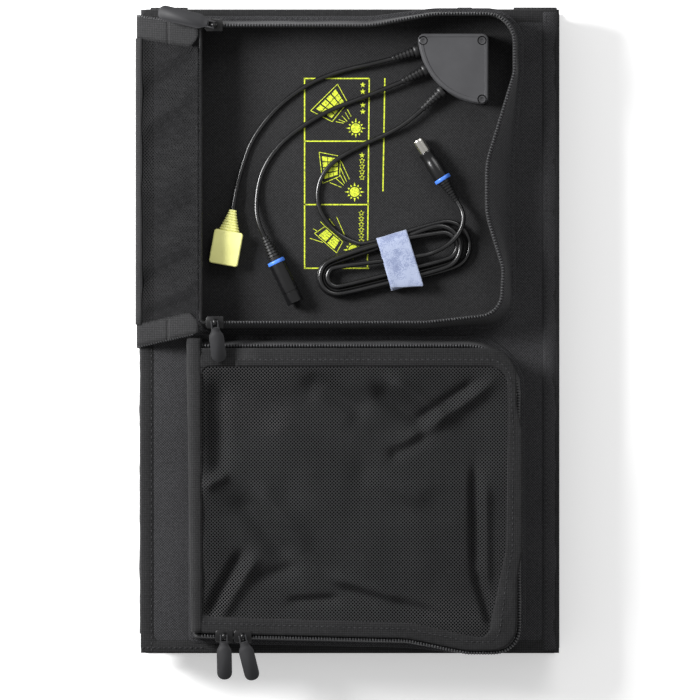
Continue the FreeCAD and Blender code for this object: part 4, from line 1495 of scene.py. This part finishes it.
lid_bm = shell_through([(0.45, BOX_SPLIT), (0.25, BOX_SPLIT + 0.3), (0.25, BOX_TOP - 0.9),
                        (0.5, BOX_TOP - 0.3), (1.1, BOX_TOP), (2.3, BOX_TOP),
                        (2.6, BOX_TOP - 0.35)])
filled(lid_bm, BOX_SPLIT)
filled(lid_bm, BOX_TOP - 0.35)
lid_piece = finish_piece("junction_box_lid", lid_bm, case_abs, None, flat=True)
drill_bm = bmesh.new()
for screw_x, screw_y in SCREWS:
    bmesh.ops.create_cone(drill_bm, cap_ends=True, segments=24, radius1=WELL_RADIUS,
                          radius2=WELL_RADIUS, depth=6.0,
                          matrix=Matrix.Translation((screw_x, screw_y, BOX_TOP + 0.2)))
drill = finish_piece("screw_well_drill", drill_bm, case_abs, None, merge=0)
carving = lid_piece.modifiers.new("wells", "BOOLEAN")
carving.operation = "DIFFERENCE"
carving.object = drill
carved = bpy.data.meshes.new_from_object(
    lid_piece.evaluated_get(bpy.context.evaluated_depsgraph_get()))
lid_piece.modifiers.clear()
lid_piece.data = carved
bpy.data.objects.remove(drill)
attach(lid_piece, "panel_1")
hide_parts("box_lid")


def hexagon_reach(angle, across):
    """How far a hexagon's edge is from its middle in a direction."""
    step = math.pi / 3
    return across / math.cos((angle % step) - step / 2)


screw_bm = bmesh.new()
for screw_x, screw_y in SCREWS:
    rings = []
    for is_round, radius, z in ((True, 2.75, -2.75), (True, 2.75, -1.9), (True, 2.35, -1.55),
                                (False, 1.35, -1.55), (False, 1.3, -2.6)):
        ring = []
        for k in range(24):
            angle = math.tau * k / 24
            reach = radius if is_round else hexagon_reach(angle, radius)
            ring.append(screw_bm.verts.new((screw_x + reach * math.cos(angle),
                                            screw_y + reach * math.sin(angle), BOX_TOP + z)))
        rings.append(ring)
    skin_over(screw_bm, rings)
finish_piece("junction_box_screws", screw_bm, screw_zinc, "panel_1", ["box_screws"],
             flat=True)


def dress(node, material):
    """Give a CAD node that keeps its shape a material of its own."""
    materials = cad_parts[node].data.materials
    materials.clear()
    materials.append(material)


dress("box_circuit", circuit_green)

# %% [markdown]
# ## Turned parts on the leads
#
# Strain reliefs, connector bodies and rings are all round, so each is a row of rings whose radii
# come from a profile. A ribbed relief is a taper with grooves, which bends more easily near its
# tip. Each profile is a list of (distance along the part, radius).

# %% Turned parts
SHARP_COSINE = 0.6      # faces that turn more than this keep a crisp edge between them


def turned_part(name, steps, material, node, slot, sides, start, heading):
    """A round part from (distance along it, radius) steps, with its crisp edges marked."""
    bm = bmesh.new()
    skin_over(bm, [[bm.verts.new((along, radius * math.cos(math.tau * k / sides),
                                  radius * math.sin(math.tau * k / sides)))
                    for k in range(sides)] for along, radius in steps])
    at_place(bm, start, heading)
    piece = finish_piece(name, bm, material, "panel_1", [node] if node else [], merge=0)
    mesh = piece.data
    sharp = mesh.attributes.new("sharp_edge", "BOOLEAN", "EDGE")
    edge_faces = {}
    for polygon in mesh.polygons:
        for key in polygon.edge_keys:
            edge_faces.setdefault(key, []).append(polygon.normal)
    for edge in mesh.edges:
        normals = edge_faces[edge.key]
        sharp.data[edge.index].value = len(normals) == 2 \
            and normals[0].dot(normals[1]) < SHARP_COSINE
    return piece


RIB_SHARE = 0.56
GROOVE = 0.75


def ribbed(length, tip, root, ribs, plain=0.0):
    """A taper with square grooves between ribs, and a plain run at its thick end."""
    steps = [(0.0, tip - 0.35), (0.4, tip)]
    span = length - 0.4 - plain
    for k in range(ribs):
        a = 0.4 + span * k / ribs
        b = a + span * RIB_SHARE / ribs
        c = a + span / ribs
        radius_a = tip + (root - tip) * k / ribs
        radius_b = tip + (root - tip) * (k + RIB_SHARE) / ribs
        steps += [(a + 0.02, radius_a), (b, radius_b), (b + 0.12, radius_b - GROOVE),
                  (c - 0.12, radius_b - GROOVE + 0.1)]
    return steps + [(length - plain, root), (length, root)]


GLANDS = {"a": (28.2, 182.7, 44.9, 188.2), "b": (35.1, 167.5, 50.6, 175.4),
          "c": (48.3, 148.8, 61.4, 160.8)}
gland_pieces = {}
for gland, (tip_x, tip_y, root_x, root_y) in GLANDS.items():
    direction = math.degrees(math.atan2(root_y - tip_y, root_x - tip_x))
    span = math.hypot(root_x - tip_x, root_y - tip_y)
    steps = ribbed(span - 2.2, 2.2, 3.7, 6)
    steps += [(span - 2.1, 4.3), (span - 1.9, 4.55), (span - 0.3, 4.55), (span + 0.9, 4.5)]
    gland_pieces[gland] = turned_part(f"gland_{gland}", steps, relief_pvc,
                                      "box_glands" if gland == "a" else None, "relief", 24,
                                      (tip_x, tip_y, GLAND_Z), direction)

# Each row: name, (distance, radius) steps, material, CAD node, slot, sides.
SOCKET_AT, SOCKET_HEADING = (-57.4, 63.3, 41.3), -64.5
SOCKET_ROWS = [
    ("socket_strain_relief", ribbed(17.4, 2.3, 4.6, 7, plain=2.0), relief_pvc, "socket_relief",
     "relief", 24),
    ("socket_blue_ring", [(17.5, 5.2), (17.6, 5.75), (17.9, 5.95), (19.8, 5.95), (20.0, 5.8),
                          (20.1, 5.2)], ring_blue, "socket_ring", "ring", 32),
    ("socket_shell", [(20.1, 5.3), (20.2, 5.7), (22.0, 5.75), (40.4, 5.75), (40.6, 5.4),
                      (41.4, 5.4), (41.6, 5.75), (48.2, 5.75), (48.7, 5.6), (48.9, 5.2),
                      (48.9, 4.2), (48.7, 4.0), (37.0, 4.0), (36.9, 3.6)], plug_abs,
     "socket_body", "plug", 32),
    ("socket_centre_pin", [(36.9, 0.6), (46.2, 0.6), (46.6, 0.35)], nickel, None, "barrel", 12)]
PLUG_AT, PLUG_HEADING = (71.4, 87.4, 40.9), 122.6
PLUG_ROWS = [
    ("plug_strain_relief", ribbed(15.9, 2.2, 4.3, 7, plain=1.6), relief_pvc, "plug_relief",
     "relief", 24),
    ("plug_blue_ring", [(16.0, 5.0), (16.1, 5.55), (16.4, 5.75), (18.3, 5.75), (18.5, 5.6),
                        (18.6, 5.0)], ring_blue, "plug_ring", "ring", 32),
    ("plug_shell", [(18.6, 4.9), (18.7, 5.3), (20.0, 5.35), (30.5, 5.35), (31.2, 4.95),
                    (36.6, 4.85), (37.2, 5.1), (38.3, 5.1), (38.8, 4.8), (38.9, 4.2),
                    (38.9, 3.0)], plug_abs, "plug_body", "plug", 32),
    ("plug_barrel_tube", [(38.7, 3.9), (46.6, 3.95), (47.9, 3.9), (48.4, 3.6), (48.4, 3.0),
                          (48.2, 2.9), (40.0, 2.9)], nickel, "plug_barrel", "barrel", 32)]
socket_parts = [turned_part(*row, SOCKET_AT, SOCKET_HEADING) for row in SOCKET_ROWS]
plug_parts = [turned_part(*row, PLUG_AT, PLUG_HEADING) for row in PLUG_ROWS]

# %% [markdown]
# ## The USB block
#
# The block is a rounded yellow box with a ribbed taper moulded onto the same piece, and a metal
# port in its far end.

# %% USB block
USB_AT, USB_HEADING = (-78.5, 81.3, 40.4), -100.2
usb_cone = bmesh.new()
RELIEF_RIBS = 8
rings = []
for k in range(RELIEF_RIBS):
    for part_of, thin in ((0.0, 0.0), (0.6, 0.0), (0.68, 0.6), (0.94, 0.6)):
        t = (k + part_of) / RELIEF_RIBS
        half_y = 2.6 + 4.6 * t ** 1.25 - thin
        half_z = 2.3 + 2.2 * t - thin
        ring = []
        for j in range(24):
            angle = math.tau * j / 24
            c, s = math.cos(angle), math.sin(angle)
            ring.append(usb_cone.verts.new((14.4 * t, half_y * math.copysign(abs(c) ** 0.7, c),
                                            half_z * math.copysign(abs(s) ** 0.7, s))))
        rings.append(ring)
skin_over(usb_cone, rings)
at_place(usb_cone, USB_AT, USB_HEADING)
usb_parts = [finish_piece("usb_strain_relief", usb_cone, usb_yellow, "panel_1", ["usb_relief"],
                          merge=0, flat=True)]

usb_bm = bmesh.new()
block(usb_bm, (14.4, -9.75, -5.0), (37.4, 9.75, 5.0))
upright = [e for e in usb_bm.edges if abs(e.verts[0].co.z - e.verts[1].co.z) > 1]
round_edges(usb_bm, upright, 1.8, 4)
flat_rims = [e for e in usb_bm.edges if abs(e.verts[0].co.z - e.verts[1].co.z) < SAME_PLACE
             and len(e.link_faces) == 2 and e.calc_face_angle() > 1.2]
round_edges(usb_bm, flat_rims, 0.9, 3)
mouth = [f for f in usb_bm.faces if f.normal.x > 0.99 and f.calc_area() > 30]
for face in mouth:
    bmesh.ops.inset_region(usb_bm, faces=[face], thickness=1.2, depth=0.0)
    for vert in face.verts:
        vert.co.y = math.copysign(6.25, vert.co.y)
        vert.co.z = math.copysign(2.55, vert.co.z)
    sunk = bmesh.ops.extrude_face_region(usb_bm, geom=[face])["geom"]
    bmesh.ops.translate(usb_bm, vec=(-11.0, 0, 0), verts=vertices_of(sunk))
    bmesh.ops.delete(usb_bm, geom=[face], context="FACES_ONLY")
at_place(usb_bm, USB_AT, USB_HEADING)
usb_parts.append(finish_piece("usb_block_body", usb_bm, usb_yellow, "panel_1", ["usb_body"],
                              merge=0.0005))

port_bm = bmesh.new()
PORT_CORNERS = ((-1, -1), (1, -1), (1, 1), (-1, 1))
skin_over(port_bm, [[port_bm.verts.new((x, y * half_y, z * half_z)) for y, z in PORT_CORNERS]
                    for x, half_y, half_z in ((26.6, 6.2, 2.5), (37.35, 6.2, 2.5),
                                              (37.35, 5.9, 2.2), (26.6, 5.9, 2.2))], ends=(-1,))
at_place(port_bm, USB_AT, USB_HEADING)
usb_parts.append(finish_piece("usb_port_shell", port_bm, stamped_steel, "panel_1", ["usb_port"],
                              flat=True))
tongue_bm = bmesh.new()
block(tongue_bm, (26.8, -5.0, 0.4), (36.0, 5.0, 1.9))
round_sharp(tongue_bm, 0.2)
at_place(tongue_bm, USB_AT, USB_HEADING)
usb_parts.append(finish_piece("usb_port_tongue", tongue_bm, plug_abs, "panel_1", []))
LEAD_C_PIECES = plug_parts + [gland_pieces["c"]]

# %% [markdown]
# ## The hook-and-loop tie
#
# A soft strap goes round the coil of lead and closes on itself. Its section is walked from the
# outer end, round the bundle and under the overlap. The outer end stands off a little.

# %% Tie
TIE_HEADING = 16.2
TIE_MIDDLE = (32.75, 47.6, 0.0)
TIE_HALF = 10.6         # half of the strap's width
TIE_STEPS = 12


def make_tie():
    """The strap's section, walked from its outer end, at steps across its width."""
    half = 18.2
    path = [(-19.3, 44.2), (-15.0, 44.6), (-9.0, 44.75), (-2.0, 44.7), (5.0, 44.5), (11.0, 44.1),
            (15.0, 43.4), (half - 0.6, 41.6), (half, 39.6), (half - 0.5, 37.4), (15.5, 35.95),
            (9.0, 35.8), (0.0, 35.8), (-9.0, 35.8), (-15.5, 35.95), (-half + 0.4, 37.4),
            (-half, 39.6), (-half + 0.4, 41.6), (-15.6, 42.9), (-10.0, 43.6), (-3.0, 43.6),
            (2.0, 43.4)]
    loops = []
    for k in range(TIE_STEPS + 1):
        x = -TIE_HALF + 2 * TIE_HALF * k / TIE_STEPS
        row = []
        for j, (y, z) in enumerate(path):
            outer = max(0.0, 1 - j / 6)
            side = y - 2.6 * outer * (x / TIE_HALF)
            lift = 0.5 * outer * (0.5 + 0.5 * x / TIE_HALF)
            row.append(Vector((x + 1.6 * outer * 0.4, side + rumple(x, j, 9, 0.35, 3.0),
                               z + lift + (rumple(x, y, 8, 0.4, 5.0) if z > 41 else 0.0))))
        loops.append(row)
    bm = sheet_through(loops, closed=False)
    at_place(bm, TIE_MIDDLE, TIE_HEADING)
    return finish_piece("hook_and_loop_tie", bm, tie_fabric, "panel_1", ["tie"], thick=0.85,
                        smooth_levels=1)


LEAD_C_PIECES.append(make_tie())

# %% [markdown]
# ## Webbing tabs
#
# Three short tabs of webbing are folded into the top hem.

# %% Tabs
tab_bm = bmesh.new()
for low_x, high_x in ((-134, -109), (72, 82), (110, 139)):
    block(tab_bm, (low_x, 213.0, 29.4), (high_x, 217.6, 33.4))
round_sharp(tab_bm, 0.6, 3)
finish_piece("webbing_tab_loops", tab_bm, webbing, "panel_1", ["webbing_tabs"])

# %% [markdown]
# ## The stack's inner parts
#
# Stiff boards, laminate sheets and cells keep their CAD shapes and get their own materials. Each
# cell is dark blue with fine printed fingers and three wider bars.

# %% Boards, laminate and cells
for number in (1, 2, 3, 4):
    for part_name, skin in (("board", board_foam), ("laminate", laminate_film),
                            ("cells", cell_skin)):
        dress(f"{part_name}_{number}", skin)

# %% [markdown]
# ## Printed diagrams
#
# The deck inside the upper pocket carries a screen print: three boxes that show how the panel
# should face the sun, each with a row of rating marks, and one long rule beside them. The print is
# a thin layer of ink, so it is drawn as flat shapes just over the cloth. Titles and instructions
# are left off.

# %% Print
INK_HEIGHT = deck_z + 0.22
RULE_WIDTH = 0.85
RAY_WIDTH = 0.4
DISC_RADIUS = 3.3
STAR_RADIUS = 2.0
ink_bm = bmesh.new()


def ink_shape(points):
    """One flat printed shape."""
    ink_bm.faces.new([ink_bm.verts.new((x, y, INK_HEIGHT)) for x, y in points])


def ink_line(a, b, width):
    """A straight printed line."""
    a, b = Vector(a), Vector(b)
    side = (b - a).normalized()
    side = Vector((-side.y, side.x)) * (width / 2)
    ink_shape([a - side, b - side, b + side, a + side])


def ink_star(x, y, solid):
    """A rating mark: a five-pointed star, full or in outline."""
    ring = []
    for k in range(10):
        angle = math.radians(90.0) + math.pi * k / 5
        reach = STAR_RADIUS if k % 2 == 0 else STAR_RADIUS * 0.42
        ring.append(Vector((x + reach * math.cos(angle), y + reach * math.sin(angle))))
    if solid:
        centre = Vector((x, y))
        for k in range(0, 10, 2):
            ink_shape([centre, ring[k - 1], ring[k], ring[k + 1]])
        return
    for a, b in zip(ring, ring[1:] + ring[:1]):
        ink_line(a, b, 0.35)


def ink_sun(x, y):
    """A disc with twelve pointed rays, every third one longer."""
    ink_shape([(x + DISC_RADIUS * math.cos(math.tau * k / 24),
                y + DISC_RADIUS * math.sin(math.tau * k / 24)) for k in range(24)])
    for k in range(12):
        angle = math.tau * k / 12
        out = Vector((math.cos(angle), math.sin(angle)))
        side = Vector((-out.y, out.x))
        foot = Vector((x, y)) + out * 4.0
        tip = Vector((x, y)) + out * (6.8 if k % 3 == 0 else 5.6)
        ink_shape([foot - side * 0.7, tip, foot + side * 0.7])


def ink_panel(corners, columns, rows):
    """A tilted solar panel: an outline with a grid of cells inside it."""
    corners = [Vector(c) for c in corners]
    for a, b in zip(corners, corners[1:] + corners[:1]):
        ink_line(a, b, 0.45)

    def at(u, v):
        """A place on the tilted panel, from its two shares across and along."""
        return corners[0].lerp(corners[1], u).lerp(corners[3].lerp(corners[2], u), v)
    for i in range(columns):
        for j in range(rows):
            u0, u1 = 0.1 + 0.8 * (i + 0.06) / columns, 0.1 + 0.8 * (i + 0.94) / columns
            v0, v1 = 0.1 + 0.8 * (j + 0.1) / rows, 0.1 + 0.8 * (j + 0.9) / rows
            ink_shape([at(u0, v0), at(u1, v0), at(u1, v1), at(u0, v1)])


BOX_LEFT, BOX_RIGHT = -30.5, 12.3
BOX_LINES = (169.7, 127.6, 85.0, 42.3)
for line_y in BOX_LINES:
    ink_line((BOX_LEFT - 0.5, line_y), (BOX_RIGHT + 0.5, line_y), RULE_WIDTH)
ink_line((BOX_LEFT, BOX_LINES[0]), (BOX_LEFT, BOX_LINES[-1]), RULE_WIDTH)
ink_line((BOX_RIGHT + 0.6, BOX_LINES[0]), (BOX_RIGHT - 0.6, BOX_LINES[-1]), RULE_WIDTH)
ink_line((23.4, 170.0), (22.1, 94.0), RULE_WIDTH)

# Each row: the panel's corners, its columns and rows of cells, the sun's place, the rays.
DIAGRAMS = [
    ([(-8.4, 165.9), (-1.6, 153.6), (-12.0, 140.7), (-26.4, 148.1)], 3, 4, (3.9, 136.3),
     [((-9.5, 140.7), (-4.3, 139.7)), ((-7.6, 142.2), (-3.2, 140.4)),
      ((-5.4, 144.6), (-2.0, 141.0)), ((-3.2, 147.0), (-0.6, 142.4)),
      ((-1.8, 149.0), (0.8, 144.2))]),
    ([(-20.7, 120.2), (-6.3, 117.4), (-7.0, 104.0), (-18.3, 99.2)], 3, 4, (3.1, 93.5),
     [((-5.9, 114.0), (-0.4, 102.0)), ((-6.4, 109.6), (-2.2, 100.2)),
      ((-7.0, 105.6), (-3.6, 99.2)), ((-9.4, 102.6), (-4.3, 98.0)),
      ((-13.4, 99.8), (-5.8, 96.6))]),
    ([(-23.8, 65.7), (-16.7, 70.4), (-4.9, 60.1), (-9.0, 52.6)], 4, 2, (2.2, 54.6),
     [((-26.9, 62.4), (-18.2, 59.6)), ((-24.8, 68.8), (-21.3, 66.8)),
      ((-14.0, 75.5), (-10.4, 70.8)), ((-9.0, 76.8), (-2.8, 62.6)),
      ((-19.8, 73.6), (-16.6, 70.0))])]
for corners, columns, rows, sun, rays in DIAGRAMS:
    ink_panel(corners, columns, rows)
    ink_sun(*sun)
    for ray in rays:
        ink_line(*ray, RAY_WIDTH)

# Each row of marks: its first place, how many, how far apart, how many are full.
for first_y, marks, pitch, full in ((165.4, 5, 4.5, 5), (118.2, 5, 3.75, 1), (79.3, 6, 3.75, 0)):
    for k in range(marks):
        ink_star(8.6 - (165.4 - first_y) / 90, first_y - pitch * k, k < full)
finish_piece("printed_diagrams", ink_bm, print_ink, "panel_1", [], merge=0, flat=True)

# %% [markdown]
# ## Floor and light
#
# The pack lies on a plain white floor. Large soft lamps keep the shadows open, and the world
# fills in from everywhere. A little glow that only the eye sees makes the floor read white, so
# the lamps can stay at a level that shows each colour as it is.

# %% Floor, lamps and world
def white_for_the_eye(tree, shader, output, strength):
    """Add a little glow that only camera, mirror and glass rays see, so the floor reads white."""
    path = add(tree, "ShaderNodeLightPath")
    seen = path.outputs["Is Camera Ray"]
    for ray in ("Is Glossy Ray", "Is Transmission Ray"):
        seen = add(tree, "ShaderNodeMath", {"operation": "MAXIMUM"}, n0=seen,
                   n1=path.outputs[ray]).outputs[0]
    power = add(tree, "ShaderNodeMath", {"operation": "MULTIPLY"}, n0=seen, n1=strength).outputs[0]
    glow = add(tree, "ShaderNodeEmission", Color=(1, 1, 1, 1), Strength=power)
    both = add(tree, "ShaderNodeAddShader", n0=shader.outputs[0], n1=glow.outputs[0])
    tree.links.new(both.outputs[0], output.inputs["Surface"])


FLOOR_GLOW = 0.3
WORLD_LIGHT = 0.42

floor_bm = bmesh.new()
bmesh.ops.create_grid(floor_bm, x_segments=2, y_segments=2, size=2.5)
floor_mesh = bpy.data.meshes.new("floor")
floor_bm.to_mesh(floor_mesh)
floor_bm.free()
floor = bpy.data.objects.new("floor", floor_mesh)
collection.objects.link(floor)
paper, paper_tree, paper_shader = new_material("plain_white_paper_floor", "#f2f2f2", 0.9)
white_for_the_eye(paper_tree, paper_shader, paper_tree.nodes["Material Output"], FLOOR_GLOW)
floor_mesh.materials.append(paper)

world = bpy.data.worlds.new("studio")
world.use_nodes = True
bpy.context.scene.world = world
background = world.node_tree.nodes["Background"].inputs
background["Color"].default_value = (1, 1, 1, 1)
background["Strength"].default_value = WORLD_LIGHT


def make_lamp(name, place, size, power, target=(0, 0, 0.03)):
    """A square soft lamp that looks at the pack."""
    data = bpy.data.lights.new(name, "AREA")
    data.shape = "SQUARE"
    data.size = size
    data.energy = power
    lamp = bpy.data.objects.new(name, data)
    lamp.location = place
    lamp.rotation_euler = (Vector(target) - Vector(place)).to_track_quat("-Z", "Y").to_euler()
    collection.objects.link(lamp)


make_lamp("lamp_left", (-0.85, 0.36, 0.62), 0.36, 23.5)
make_lamp("lamp_back", (0.5, 1.6, 1.5), 1.0, 13.0)
make_lamp("lamp_right", (1.6, -0.8, 1.6), 1.2, 3.0)

bpy.context.scene.view_settings.view_transform = "Standard"
